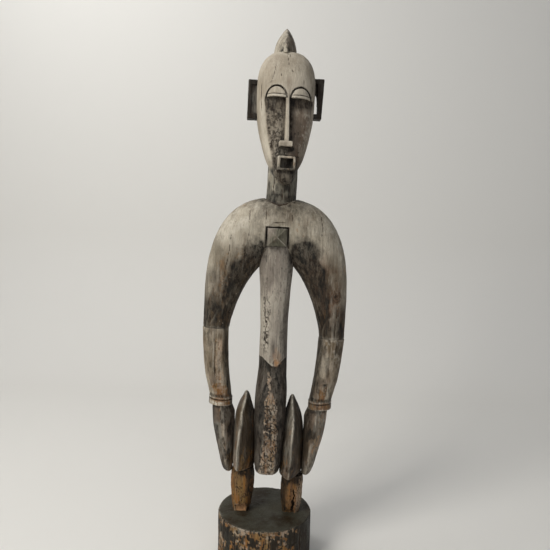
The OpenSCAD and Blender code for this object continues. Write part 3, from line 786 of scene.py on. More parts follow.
def carve_base():
    s = sizes()
    r, tall, edge = BASE_R - 0.6, BASE_H, 2.0
    step_mm = 1.5
    turns = int(2 * math.pi * r / step_mm)
    profile = [(rr, tall) for rr in np.linspace(0, r - edge, int(r / 2.2))[1:]]
    profile += [(r - edge + edge * math.sin(a), tall - edge + edge * math.cos(a))
                for a in np.linspace(0.25, math.pi / 2 - 0.1, 3)]
    profile += [(r, z) for z in np.linspace(tall - edge, edge, int(tall / step_mm))]
    profile += [(r - edge + edge * math.cos(a), edge - edge * math.sin(a))
                for a in np.linspace(0.3, 1.4, 3)]
    profile += [(rr, 0) for rr in np.linspace(r - edge, 0, 12)[:-1]]
    profile = np.array(profile)
    angle = np.arange(turns) * 2 * math.pi / turns
    points = [
        np.outer(profile[:, 0], np.cos(angle)).ravel(),
        np.outer(profile[:, 0], np.sin(angle)).ravel(),
        np.repeat(profile[:, 1], turns),
    ]
    points = np.concatenate([np.stack(points, axis=1), [[0, 0, tall], [0, 0, 0]]])
    rows, n = len(profile), turns
    i, j = np.meshgrid(np.arange(rows - 1), np.arange(n), indexing="ij")
    a, b = i * n + j, i * n + (j + 1) % n
    quads = np.stack([a, a + n, b + n, b], axis=-1).reshape(-1, 4)
    k = np.arange(0, n - 1, 2)
    top, bottom = len(points) - 2, len(points) - 1
    last = (rows - 1) * n
    caps = [np.stack([np.full_like(k, top), k, k + 1, (k + 2) % n], axis=1),
            np.stack([np.full_like(k, bottom), last + (k + 2) % n, last + k + 1, last + k], axis=1)]
    drum = Carving(points, np.concatenate([quads, *caps]))

    v = drum.v
    around = np.arctan2(v[:, 0], -v[:, 1])
    side = step(np.hypot(v[:, 0], v[:, 1]), r - 3, r - 1)
    depth_down = BASE_H - v[:, 2]
    lumpy = cloud(v, 38, 11, 2, 2.5) * 0.8 + cloud(v, 7, 12, 2, 4) * 0.25
    inward = np.clip(lumpy, -1.2, 0.5) * side - 0.45 * side
    out = np.stack([np.sin(around), -np.cos(around), np.zeros(len(v))], axis=1)
    drum.v = v + out * inward[:, None]
    drum.v[:, 2] += (1 - side) * (v[:, 2] > BASE_H - 1) * cloud(v, 26, 13, 2) * 0.25
    # the side turned from the light is painted in shade: less crust flakes off there, and its bare wood is
    # less tan
    shaded = step(around, 0.35, 0.95) * step(-around, -2.8, -2.2)
    rubbed = 0.52 - 0.25 * shaded + 0.24 * step(-depth_down, -18, -3) * (1 - 0.6 * shaded)
    flake(drum, side * rubbed * step(v[:, 2], 4, 9), 21, s.crust * 1.8, s.seed + 21, 1.7)
    whole = step(plates(drum.v, 15, s.seed + 23, 1.9) + 0.26 * cloud(drum.v, 6, 24, 3), -0.02, 0.05)
    drum.paint["bare"] *= whole
    drum.push(-0.5 * side * (1 - whole))
    for turn, low, high, wide in BASE_CRACKS:
        wander = 0.012 * cloud(drum.v, 12, 31) + turn
        gap = np.abs(np.angle(np.exp(1j * (around - wander)))) * r
        tall_part = step(v[:, 2], low - 4, low + 8) * step(-v[:, 2], -high - 4, -high + 8)
        open_crack = np.clip(1 - gap / (wide * (0.4 + tall_part)), 0, 1) * tall_part * side
        drum.push(-2.2 * open_crack)
        drum.paint["crack"] = np.maximum(drum.paint.get("crack", 0), step(open_crack, 0.05, 0.6))
    weather(drum, s.seed + 22, 0.08)
    worn_rim = np.exp(-((np.hypot(v[:, 0], v[:, 1]) - r + 1.5) / 2.0) ** 2) * (depth_down < 4)
    tan = drum.paint["bare"] * (1 - 0.6 * shaded)
    drum.paint["pale"] = 0.35 * worn_rim * step(-around, -0.4, 0.6) * blotches(-0.3, 0.4, v, 14, 41, 2)
    drum.paint["pale"] += 0.40 * tan * blotches(-0.2, 0.5, v, 11, 43, 3)
    drum.paint["soot_and_shade"] = side * (1 - drum.paint["bare"]) * 0.6
    drum.paint["brown"] = side * drum.paint["bare"] * 0.3 * blotches(0.0, 0.6, v, 12, 42, 3, 2)
    drum.paint["facet"] = 0.5
    return drum


SPLIT_X = 3  # how far the long split lies outside the middle of the left leg


def split_bend(h):
    """How far the split wanders to the side at each height."""
    return 1.3 * np.sin(0.31 * h)


def field_leg(side, foot, r_low, r_high):
    x0 = middle_of_leg(side)
    swollen = r_high + (1.8 if side == RIGHT else 0.4)
    rows = [(h, r, r, r, r, x0, 0) for h, r in (
        (FOOT_H - 3, r_low), (FOOT_H + 4, r_low + 0.3), (18, 0.5 * (r_low + r_high)), (34, r_high),
        (52, swollen), (foot - 12, swollen), (foot + 3, r_high - 1))]

    def field(p):
        body = pillar(p, rows, 2.5, 2.5, 1.0)
        if side == RIGHT:
            slant = 0.25 * (p[0] - x0)
            chip = np.maximum(block(p, (x0 - 1, -r_low - 4, 8), (11.5, 9.5, 15), 4), p[2] - 20 - slant)
            return cut_out(body, chip, 1.5)
        wavy = (p[0] - split_bend(p[2]) - 0.6 * np.sin(0.83 * p[2] + 1), p[1], p[2])
        split = block(wavy, (x0 + SPLIT_X, -r_low - 2, 14), (2.5, 7, 19), 2)
        split = blend_in(split, block(wavy, (x0 + 4.5, -r_low - 2, 42), (1.1, 6, 17), 1), 2.5)
        knock = dome(p, (x0 - 7, -r_low - 3, 5), (12, 7, 8))
        return cut_out(cut_out(body, split, 1.0), knock, 2.5)

    return field


def middle_of_leg(side):
    low, high = reach(f"{SIDES[side]}_leg")
    return (low[0] + high[0]) / 2


def carve_leg(side):
    s = sizes()
    low, high = reach(f"{SIDES[side]}_leg")
    foot = reach(f"{SIDES[side]}_thigh")[0][2]
    r_high = (high[0] - low[0]) / 2
    r_low = r_high - 4.5
    leg = mesh_solid(field_leg(side, foot, r_low, r_high), (low[0] - 2, low[1] - 2, FOOT_H - 3),
                     (high[0] + 2, high[1] + 2, foot + 3), s.fine_cell)
    dress(leg, 50 + side, 0.75, 1.1, 0.22, 4)
    v, n = leg.v, leg.normals()
    h = v[:, 2]
    x0 = middle_of_leg(side)
    # painted shade: darker on the inner side between the legs, under the thigh, at the foot and on faces
    # turned to the back
    inner = step(-side * (v[:, 0] - x0), 4, 15)
    shade = inner * 0.85 + step(h, foot - 22, foot - 4) * 0.9 + step(-h, -6, 0) * 0.4
    shade += 0.5 * step(n[:, 1], 0.0, 0.6)
    flake(leg, 0.80 - 0.35 * shade, 13, s.crust * 1.2, s.seed + 55 + side, 2.4)
    whole = step(plates(leg.v, 6.5, s.seed + 58, 1.7) + 0.1 * cloud(leg.v, 3, 24), 0.02, 0.10)
    lost = (1 - whole) * blotches(-0.3 if side == LEFT else 0.2, 0.6, leg.v, 14, 56, 2)
    leg.push(-0.4 * lost)
    leg.paint["brown"] = 0.35 + 0.5 * blotches(-0.1, 0.5, v, 16, 59, 3, 2)
    # the dark paint is the painted shade, with soot in blotches and where crust plates are lost
    soot_and_shade = np.clip(shade + 0.25 * cloud(v, 12, 57, 3, 2.5), 0, 1) * (1 - 0.4 * leg.paint["bare"])
    leg.paint["soot_and_shade"] = np.maximum(soot_and_shade, 0.85 * lost)
    leg.paint["pale"] = 0.25 * leg.paint["bare"] * (side * v[:, 0] > 10 + side * x0) * (side == LEFT)
    if side == RIGHT:
        cut = (np.abs(v[:, 0] - x0 + 1) < 11) & (np.abs(v[:, 1] + 12.8) < 1.3) & (h < 20)
        leg.paint["fresh"] = leg.soften(cut * 1.0, 2)
        for paint in ("bare", "soot_and_shade", "brown"):
            leg.paint[paint] = leg.paint[paint] * (1 - leg.paint["fresh"])
    else:
        in_slot = step(-np.abs(v[:, 0] - x0 - SPLIT_X - split_bend(h)), -3.4, -1.6)
        in_slot = in_slot * (h < 36) * (v[:, 1] < -4)
        leg.paint["crack"] = 0.75 * in_slot * blotches(-1.0, 0.1, v, 5, 3, 2)
    return leg


def thigh_rows(side):
    """The rows of a thigh's post, from its foot to its tip, with the front ridge as the middle."""
    low, high = reach(f"{SIDES[side]}_thigh")
    foot, tip = low[2], high[2] - (3.5 if side == LEFT else 0)
    span = tip - foot
    inner_face, outer_face = (low[0], high[0]) if side == LEFT else (-high[0], -low[0])
    front, back = -low[1], high[1]
    ridge = {RIGHT: (63.2, 63.3, 61.2, 58.2, 52.0), LEFT: (46.3, 49.4, 49.6, 50.9, 47.4)}[side]
    shape = [  # share of height, outer face, inner face, depth, ridge
        (0.00, 0.90, 0.90, 0.86, ridge[0]), (0.05, 0.97, 0.97, 0.96, ridge[0]),
        (0.30, 1.0, 1.0, 1.0, ridge[1]), (0.52, 0.98, 1.0, 0.97, ridge[2]),
        (0.66, 0.88, 0.92, 0.90, ridge[3]), (0.76, 0.72, 0.74, 0.76, ridge[3]),
        (0.85, 0.50, 0.52, 0.56, 0.5 * (ridge[3] + ridge[4])), (0.93, 0.28, 0.30, 0.34, ridge[4]),
        (1.0, 0.07, 0.07, 0.09, ridge[4]),
    ]
    rows = []
    for share, outer, inner, deep, x in shape:
        out_reach, in_reach = (outer_face - x) * outer, (x - inner_face) * inner
        left, right = (in_reach, out_reach) if side == LEFT else (out_reach, in_reach)
        rows.append((foot + span * share, left + 0.6, right + 0.6, front * deep, back * deep, side * x, 0))
    return rows


def carve_thigh(side):
    s = sizes()
    rows = thigh_rows(side)
    low, high = reach(f"{SIDES[side]}_thigh")
    foot = low[2]

    def field(p):
        body = pillar(p, rows, 1.32, 2.4, 4)
        slant = (0.16 if side == RIGHT else 0.22) * (side * p[0] - 50)
        body = both(body, foot + 3 + slant - p[2], 5)
        face = side * (p[0] - side * (abs(low[0] if side == LEFT else high[0]) + 0.2))
        return both(body, -face, 1.2)

    thigh = mesh_solid(field, low, high, s.cell)
    dress(thigh, 60 + side, 1.0, 0.9, 0.18, 3.0)
    v, n = thigh.v, thigh.normals()
    h = v[:, 2]
    ridge_x = np.interp(h, [r[0] for r in rows], [r[5] for r in rows])
    on_ridge = np.exp(-((v[:, 0] - ridge_x) / 2.6) ** 2) * (v[:, 1] < 0)
    low_part = step(-h, -foot - 75, -foot - 20)
    inner = step(-side * (v[:, 0] - ridge_x), 3, 12)
    worn = 0.26 + 0.36 * low_part * (inner if side == RIGHT else on_ridge) + 0.12 * low_part
    flake(thigh, worn, 11, s.crust, s.seed + 61 + side, 3)
    whole = step(plates(v, 7, s.seed + 68, 1.8) + 0.1 * cloud(v, 3, 69), 0.10, 0.22)
    rubbed = low_part * step(v[:, 0] - ridge_x, 2, 7) * blotches(-0.4, 0.1, v, 12, 68, 3) * (n[:, 1] < 0.2)
    thigh.push(-0.4 * rubbed * (1 - whole))
    thigh.paint["bare"] = np.maximum(thigh.paint["bare"], 0.55 * rubbed * whole)
    sharp = on_ridge * blotches(-0.9, -0.1, v, 11, 63, 2, 3)
    thigh.paint["ridge"] = np.maximum(thigh.paint["ridge"] * 0.6, sharp)
    # painted highlight: paler on front faces turned to the light
    lit = step(-n[:, 0], 0.05, 0.5) * step(-v[:, 1], 8, 30)
    mottled = blotches(-0.1, 0.35, v, 7, 67, 4, 2)
    thigh.paint["pale"] = on_ridge * (0.75 if side == RIGHT else 0.55)
    thigh.paint["pale"] += (0.30 if side == RIGHT else 0.12) * lit * blotches(-0.2, 0.7, v, 15, 64, 3, 4)
    # the dark paint: patina and mottled soot low down, with painted shade on faces turned from the light
    # and to the back
    thigh.paint["soot_and_shade"] = np.clip((0.10 if side == RIGHT else 0.25) + 0.3 * cloud(v, 30, 65, 2, 2)
                                  + 0.4 * step(n[:, 0], 0.2, 0.8) + 0.3 * step(n[:, 1], 0.1, 0.7)
                                  + 0.35 * mottled * low_part, 0, 1)
    thigh.paint["brown"] = np.clip(0.6 * low_part + 0.5 * blotches(-0.2, 0.4, v, 22, 66, 3, 2), 0, 1)
    return thigh


def belly_edge(x):
    """Height of the step where the belly's front layer has split off."""
    return 330 + 0.8 * np.clip(-x, 0, 20) + 1.1 * np.clip(x - 11, 0, 14)


BELLY_CHIP = (10, 338)  # middle x and height of the newest chip, at the lowest point of the step


def carve_trunk():
    s = sizes()
    low, high = reach("trunk")
    shoulder = reach("chest_stud")[0][2]
    foot = low[2]
    side_at = (high[0] - low[0]) / 2
    half = 0.93 * side_at
    rows = [  # height, left, right, front, back, middle x, middle y
        (foot, 17, 17, 22, 27, 0, 0), (foot + 5, 23, 23, 34, 38, 0, 0), (foot + 16, 27, 27, 41, 46, 0.5, 0),
        (150, 30, 30, 45, 50, 1, 0), (205, 33, 33, 46, 50, 1, 0), (250, half, half, 44, 45, 1, 0),
        (275, 33, 33.5, 41.5, 41, 1.2, 0), (305, 30.5, 31, 40, 38, 1.3, 0), (360, 29.3, 29.5, 41, 36, 1, 0),
        (430, 29.7, 29.7, 41, 36, -0.3, 0), (490, 32.6, 32.6, 41, 39, -1.2, 0),
        (540, 36, 36, 42, 42, -1.8, 0), (shoulder + 6, 36, 36, 42, 42, -2.4, 0),
    ]

    def field(p):
        round_part = pillar(p, rows, 2.2, 2.2, 5)
        hip_part = pillar(p, rows, 3.0, 3.6, 5)
        t = np.clip((p[2] - 225) / 80, 0, 1)
        body = hip_part + (round_part - hip_part) * t
        under = step(belly_edge(p[0]) - p[2], -0.7, 0.7) * step(-p[1], 2, 22)
        body = body + 3.2 * under * np.clip((p[2] - 246) / 80, 0, 1)
        notch = dome(p, (BELLY_CHIP[0], -41.5, BELLY_CHIP[1] - 1), (9, 4.0, 9.5))
        body = cut_out(body, notch, 0.8)
        hollow = dome(p, (-4, -47, foot + 20), (6, 6, 11))
        return cut_out(body, hollow, 1.5)

    trunk = mesh_solid(field, (low[0], low[1], foot), (high[0], high[1], shoulder + 6), s.cell)
    dress(trunk, 70, 0.95, 0.8, 0.2, 4.5)
    for path, wide, deep in (
        (((-22, 415), (-20, 452), (-23, 490)), 0.7, 0.7),
        (((-16, 372), (-18, 400), (-15, 428)), 0.8, 0.8),
        (((12, 470), (9, 510), (11, 548)), 0.7, 0.8),
        (((-4, 120), (-8, 170), (-3, 214), (-6, 262)), 1.0, 1.4),
    ):
        crack(trunk, path, wide, deep, seed=s.seed + int(path[0][1]))
    v, n = trunk.v, trunk.normals()
    x, h = v[:, 0], v[:, 2]
    below = step(belly_edge(x) - h, -1.5, 1.5)
    front = step(-n[:, 1], 0.35, 0.75)
    strip_middle = np.interp(h, [95, 130, 170, 265, 320], [-1, 3, 5, 0, -8])
    strip_width = np.interp(h, [90, 130, 165, 240, 272, 322], [18, 16, 15, 13, 6, 2])
    edge = strip_width + 3.5 * cloud(v, 8, 71, 3, 2)
    strip = step(edge - np.abs(x - strip_middle), -0.6, 0.6) * step(-h, -326, -300) * (v[:, 1] < -12)
    crackle = plates(v, 6.5, s.seed + 72, 1.8) + 0.10 * cloud(v, 3, 73)
    whole = step(crackle, 0.03, 0.10) * blotches(-0.90, -0.70, v, 8, 79, 3, 1.6)
    trunk.push(-0.55 * strip * (1 - whole))
    flake(trunk, 0.10 * below, 6, s.crust * 1.3, s.seed + 72, 2.4)
    trunk.paint["bare"] = np.maximum(trunk.paint["bare"] * 0.3, 0.66 * strip * whole)
    curls = (1 - step(plates(v, 8, s.seed + 75, 1.8) + 0.2 * cloud(v, 4, 76), 0.10, 0.24)) * front
    mottled = step(-x, 5, 15) * step(h, 345, 370) * step(-h, -500, -440)
    flank = step(np.abs(x), 14, 27)
    # the dark paint: soot below the belly step, in the flaked strip and in crust curls, with painted shade
    # below the step on the side turned from the light, on faces turned from the light, under the arms and
    # on the back
    soot_and_shade = below * (0.92 - 0.90 * strip * whole - 0.15 * blotches(0.1, 0.6, v, 9, 78, 3, 3))
    soot_and_shade += 0.5 * strip * (1 - whole) + 0.75 * mottled * curls + 0.35 * below * (x > 15)
    soot_and_shade += 0.30 * step(n[:, 0], 0.5, 0.95) + 0.65 * step(h, 520, 570) * flank
    soot_and_shade += 0.4 * step(n[:, 1], 0.2, 0.8) * step(-h, -420, -250)
    soot_and_shade += 0.25 * (1 - below) * blotches(0.35, 0.6, v, 6, 80, 4, 1.5)
    chip = np.hypot((x - BELLY_CHIP[0]) / 8, (h - BELLY_CHIP[1] + 1) / 8.5) + 0.45 * cloud(v, 5, 77, 3)
    halo = np.hypot((x - BELLY_CHIP[0] + 2) / 11, (h - BELLY_CHIP[1] - 16) / 16) + 0.35 * cloud(v, 6, 81, 2)
    foot_red = step(-h, -foot - 12, -foot - 2) * (v[:, 1] < 0)
    fresh = np.maximum(step(-chip, -1.15, -0.3), 0.28 * step(-halo, -1.1, -0.6)) * (v[:, 1] < -25)
    trunk.paint["fresh"] = np.maximum(fresh, 0.3 * foot_red)
    trunk.paint["soot_and_shade"] = np.clip(soot_and_shade, 0, 1) * (1 - trunk.paint["fresh"])
    trunk.paint["brown"] = 0.25 * below
    trunk.paint["pale"] = 0.30 * front * (1 - below) * blotches(-0.3, 0.6, v, 20, 75, 3, 4)
    trunk.paint["pale"] += 0.45 * mottled * (1 - curls)
    trunk.paint["pale"] += 0.42 * strip * whole * blotches(-0.3, 0.4, v, 6, 76, 3)
    return trunk


def arch_fields(p):
    """Distances inside the outer outline and outside the inner outline of the shoulders and arms."""
    low, high = reach("shoulder_yoke")
    half_span, top = (high[0] - low[0]) / 2, high[2]
    spring, n_out = 456.0, 2.6
    inner_half, inner_top, inner_low, n_in = 98.0, 560.0, 380.0, 1.6

    def inside(x, z, a, b, n):
        u, w = np.abs(x) / a, np.maximum(z, 0) / b
        g = (u**n + w**n + 1e-9) ** (1 / n)
        gx = (u / g) ** (n - 1) / a
        gz = (w / g) ** (n - 1) / b
        return (1 - g) / np.sqrt(gx * gx + gz * gz + 1e-9)

    outer = inside(p[0], p[2] - spring, half_span - 0.8, top - spring - 0.6, n_out)
    inner = -inside(p[0], p[2] - inner_low, inner_half, inner_top - inner_low, n_in)
    return outer, inner


STUD_SHIFT = np.array([-3.0, 0, 0])  # the stud sits a little to the figure's right in its groove
KNOT = (127, 481)  # place of the knot on the left arm, across and up
COLLAR_LOW = 672  # height of the seat that is let in round the neck


def carve_shoulders():
    s = sizes()
    low, high = reach("shoulder_yoke")
    seams = {side: reach(f"{SIDES[side]}_forearm")[1][2] for side in SIDES}
    stud_low, stud_high = reach("chest_stud")
    stud_mid = (stud_low + stud_high) / 2 + STUD_SHIFT
    depth_mid, depth_elbow = -low[1] - 0.5, 29.5

    def field(p):
        outer, inner = arch_fields(p)
        half = (outer + inner) / 2
        across = (inner - outer) / (np.abs(outer + inner) + 1e-6)
        lift = np.clip((p[2] - 430) / 200, 0, 1)
        depth = depth_elbow + (depth_mid - depth_elbow) * lift * lift * (3 - 2 * lift)
        q = (np.abs(across) ** 2.15 + np.abs(p[1] / depth) ** 2.15) ** (1 / 2.15)
        body = (q - 1) * np.maximum(np.minimum(half, depth), 4)
        body = np.where(half < 2, np.maximum(body, 4 - half), body)
        for side in SIDES:
            seam = seams[side] - p[2]
            body = np.where(side * p[0] > 0, both(body, seam, 1.6), body)
        collar = np.hypot(p[0], p[1] - 3) - 33.2
        collar = np.maximum(collar, COLLAR_LOW - p[2])
        body = cut_out(body, collar, 2.0)
        groove = block(p, (stud_mid[0], -58, stud_mid[2]), ((stud_high[0] - stud_low[0]) / 2 - 0.4, 20,
                                                             (stud_high[2] - stud_low[2]) / 2 + 1.8), 1.5)
        body = cut_out(body, groove, 1.2)
        knot = dome(p, (KNOT[0], -33, KNOT[1]), (5, 5, 5.5))
        return cut_out(body, knot, 3)

    yoke = mesh_solid(field, (low[0], low[1], min(seams.values())), high, s.cell * 1.1)
    v = yoke.v
    rings = np.hypot((v[:, 0] - KNOT[0]) / 0.9, v[:, 2] - KNOT[1])
    knot = np.exp(-(rings / 13) ** 4) * (v[:, 1] < 0)
    yoke.push(0.35 * knot * np.cos(rings * 1.15))
    dress(yoke, 80, 1.25, 0.95, 0.2, 2.2)
    for path, wide, deep in (
        (((-97, 600), (-100, 560), (-107, 520), (-112, 492)), 0.8, 0.9),
        (((-60, 655), (-62, 618), (-61, 596)), 0.6, 0.7),
        (((-27, 660), (-26, 640), (-27, 625)), 0.6, 0.7),
        (((25, 655), (26, 636), (25, 618)), 0.6, 0.7),
        (((86, 648), (89, 620), (87, 596)), 0.7, 0.8),
        (((-14, 628), (13, 629)), 1.1, 1.2),
        (((-32, 677), (-15, 668), (-2, 663), (13, 668), (31, 678)), 1.5, 1.6),
    ):
        crack(yoke, path, wide, deep, seed=s.seed + int(abs(path[0][0])))
    for path in (((-40, 640), (-44, 600), (-38, 560)), ((70, 650), (76, 600), (92, 540))):
        crack(yoke, path, 1.2, 1.5, seed=s.seed + 7, facing=1)
    v, n = yoke.v, yoke.normals()
    x, h = v[:, 0], v[:, 2]
    outer, inner = arch_fields([x, v[:, 1], h])
    across = inner / (inner + outer + 1e-6)
    wander = 0.10 * cloud(v, 24, 81, 4)
    beside = step(np.abs(x), 22, 34)
    # darker towards the inner edge of each arm: partly stained patina, partly painted shade under the arms
    black = step(np.where(x < 0, 0.36, 0.43) + wander - across, -0.20, 0.14) * beside
    black = black * step(90 * wander - h, -610, -568)
    brown = step(0.78 + 1.3 * wander - across, -0.22, 0.22) * step(-h, -600, -520) * beside
    collar = step(h - 663 - 0.45 * np.abs(x + 2), -1, 2) * (v[:, 1] < 5) * (np.abs(x) < 34)
    to_elbow = step(-h, -500, -425)
    streaky = blotches(-0.4, 0.5, v, 12, 83, 4, 3)
    gap = np.maximum(np.abs(x - stud_mid[0]) - (stud_high[0] - stud_low[0]) / 2,
                     np.abs(h - stud_mid[2]) - (stud_high[2] - stud_low[2]) / 2)
    soot_and_shade = np.maximum(black * 1.25, to_elbow * (0.76 - 0.30 * streaky)) + 0.5 * collar
    # painted shadow in the groove round the stud, and painted shade on faces turned to the back
    soot_and_shade += 0.9 * step(-np.abs(gap + 0.4), -3.2, -1.2) * (v[:, 1] < 0)
    soot_and_shade += 0.25 * step(n[:, 1], 0.3, 0.9)
    soot_and_shade += np.where(x < 0, 0.22 + 0.25 * streaky, 0.02) * step(-h, -575, -500)
    soot_and_shade += (0.34 + 0.16 * streaky) * step(h, 612, 650) * step(-np.abs(x), -80, -15)
    soot_and_shade += (0.24 + 0.20 * streaky) * step(h, 645, 680) * step(-np.abs(x), -95, -50)
    right_smudge = np.exp(-((x - 52) / 16) ** 2 - ((h - 612) / 12) ** 2)
    yoke.paint["soot_and_shade"] = np.clip(soot_and_shade + 0.2 * right_smudge + 0.6 * knot * step(np.cos(rings * 1.15), 0, 1)
                                 * (rings < 13), 0, 1)
    brown_parts = np.maximum(brown, to_elbow) * (0.55 + 0.45 * step(x, 20, 90))
    yoke.paint["brown"] = np.clip(brown_parts + 0.5 * knot, 0, 1)
    pale = step(across, 0.45, 0.70) * step(h, 565, 615) * step(-h, -676, -650) * step(-x, 10, 50)
    yoke.paint["pale"] = 0.75 * pale * blotches(-0.5, 0.3, v, 24, 85, 3)
    left_shoulder = (across > 0.5) * step(x, 40, 70) * step(h, 540, 600)
    yoke.paint["pale"] += 0.3 * left_shoulder * blotches(0, 0.6, v, 20, 87, 3)
    flake(yoke, 0.20 + 0.22 * brown * (x < 0) + 0.15 * to_elbow, 10, 0.4, s.seed + 86, 3)
    yoke.paint["bare"] = yoke.paint["bare"] * 0.5
    return yoke


def carve_forearm(side):
    s = sizes()
    low, high = reach(f"{SIDES[side]}_forearm")
    wrist = reach(f"{SIDES[side]}_bracelet")[1][2]
    top = high[2]
    rows = [(wrist - 1, 23, 23, 24.5, 24.5, side * 107, 0), (275, 24.3, 24.3, 26, 26, side * 111.3, 0),
            (297, 25.3, 25.3, 27, 27, side * 115.8, 0), (325, 26.1, 26.1, 28, 28, side * 119.3, 0),
            (360, 26.6, 26.6, 28.6, 28.6, side * 122.3, 0), (top, 27.2, 27.2, 29.4, 29.4, side * 124, 0)]

    def field(p):
        body = pillar(p, rows, 2.25, 2.15, 1.4)
        if side == RIGHT:
            shave = block(p, (side * 113, -31.5, 318), (9, 6, 56), 3)
            body = cut_out(body, shave, 2.5)
            shave = block(p, (side * 110, -29.5, 262), (14, 6.2, 18), 3)
        else:
            shave = block(p, (side * 110, -30, 268), (9, 6, 26), 3)
        return cut_out(body, shave, 2.5)

    arm = mesh_solid(field, (low[0], low[1], wrist - 1), high, s.fine_cell * 1.12)
    dress(arm, 90 + side, 0.85, 0.85, 0.2, 4)
    v, n = arm.v, arm.normals()
    h = v[:, 2]
    x0 = np.interp(h, [r[0] for r in rows], [r[5] for r in rows])
    u = v[:, 0] - x0
    front = step(-v[:, 1], 6, 18)
    if side == RIGHT:
        band = step(9 + 3 * cloud(v, 9, 91, 2, 4) - np.abs(u - 6 + (h - 340) * 0.02), -1, 2)
        tan = band * front * step(h, 285, 300) * step(-h, -385, -372)
        wrist_tan = step(15 + 3 * cloud(v, 8, 92, 2) - np.abs(u - 3), -1, 2) * front * step(-h, -292, -276)
        flake(arm, np.clip(tan * 0.75 + wrist_tan * 0.9, 0, 1), 12, s.crust, s.seed + 93, 4)
        worn = np.maximum(0.85 * tan, 0.90 * wrist_tan) * blotches(-0.85, -0.50, v, 13, 90, 4, 2.5)
        arm.paint["bare"] = np.maximum(arm.paint["bare"], worn)
        arm.paint["fresh"] = 0.22 * wrist_tan * blotches(-0.3, 0.5, v, 10, 94, 3, 3)
        arm.paint["pale"] = 0.45 * tan + 0.25 * wrist_tan * blotches(-0.3, 0.3, v, 9, 87, 3)
    else:
        wrist_tan = step(8 + 3 * cloud(v, 8, 92, 2) - np.abs(u + 1), -1, 2) * front * step(-h, -300, -272)
        flake(arm, np.clip(wrist_tan * 0.72, 0, 1), 9, s.crust, s.seed + 95, 3)
        arm.paint["fresh"] = 0.2 * wrist_tan * blotches(-0.2, 0.5, v, 10, 96, 3, 3)
        arm.paint["pale"] = (0.25 * front + 0.3 * wrist_tan) * blotches(-0.1, 0.6, v, 14, 97, 3, 3)
    # painted shade on the inner side of each arm, and over all of the left arm, which is turned from the
    # light
    shade = 0.75 * step(-u, 12, 24) + 0.35 if side == LEFT else 0.7 * step(u, 14, 24)
    lichen = blotches(0.25, 0.45, v, 4.5, 89, 4, 1.8)
    near_seam = step(h, top - 9, top - 2)
    arm.paint["pale"] = np.maximum(arm.paint["pale"], 0.3 * near_seam * blotches(-0.2, 0.4, v, 10, 98, 2))
    arm.paint["ridge"] *= 1 - 0.75 * near_seam
    grown = lichen * front * step(h, 300, 360) * (side == LEFT)
    arm.paint["pale"] = np.maximum(arm.paint["pale"], 0.5 * grown)
    arm.paint["brown"] = 0.6 * blotches(-0.1, 0.5, v, 20, 88, 3, 2)
    if side == RIGHT:
        # the right arm's front is also darker away from its bare wood: patina
        shade = shade + 0.32 * front * (1 - np.maximum(tan, wrist_tan))
    # the dark paint: the painted shade, more painted shade on faces turned to the back and where the
    # bracelet meets the arm, and soot blotches
    arm.paint["soot_and_shade"] = np.clip(0.7 * shade + 0.45 * step(n[:, 1], 0.2, 0.8) + 0.7 * step(-h, -264, -256)
                                + 0.3 * blotches(0.1, 0.6, v, 9, 99, 3, 2.4), 0, 1)
    return arm


def carve_bracelet(side):
    s = sizes()
    low, high = reach(f"{SIDES[side]}_bracelet")
    centre, r = (low + high) / 2, (high[0] - low[0]) / 2
    tilt = 0.05 * side

    def field(p):
        z = p[2] - centre[2] - tilt * (p[0] - centre[0])
        ring = np.hypot(p[0] - centre[0], p[1] - centre[1]) - r + 0.5
        body = both(ring, np.abs(z) - (high[2] - low[2]) / 2 - 0.3, 3.0)
        groove = np.hypot(np.hypot(p[0] - centre[0], p[1] - centre[1]) - r, z - 3.6) - 1.5
        body = cut_out(body, groove, 0.8)
        bore = 14.2 - np.hypot(p[0] - centre[0], p[1] - centre[1])
        return both(body, bore, 0.5)

    ring = mesh_solid(field, low, high, s.fine_cell)
    dress(ring, 100 + side, 0.7, 0.7, 0.16, 1.0)
    v = ring.v
    across = v[:, 0] - centre[0]
    over = v[:, 2] - centre[2] - tilt * across
    front = step(-(v[:, 1] - centre[1]), 8, 18)
    worn = front * step(across * (1 if side == LEFT else -1), -14, 0) * blotches(-0.5, 0.3, v, 9, 103, 3)
    flake(ring, 0.3 + 0.5 * front, 9, 0.35, s.seed + 101 + side, 1)
    ring.paint["pale"] = worn * step(-over, -2, 2)
    # painted shade: darker behind than in front, at the rims where the ring meets the arm and the hand, and
    # in the groove
    rims = step(np.abs(over), 0.36 * (high[2] - low[2]), 0.5 * (high[2] - low[2]))
    line = np.exp(-((over - 3.6) / 1.6) ** 2)
    ring.paint["soot_and_shade"] = np.clip(0.3 - 0.35 * front + 0.45 * rims + 0.75 * line
                                 + 0.15 * blotches(0, 0.6, v, 7, 104, 3), 0, 1)
    return ring


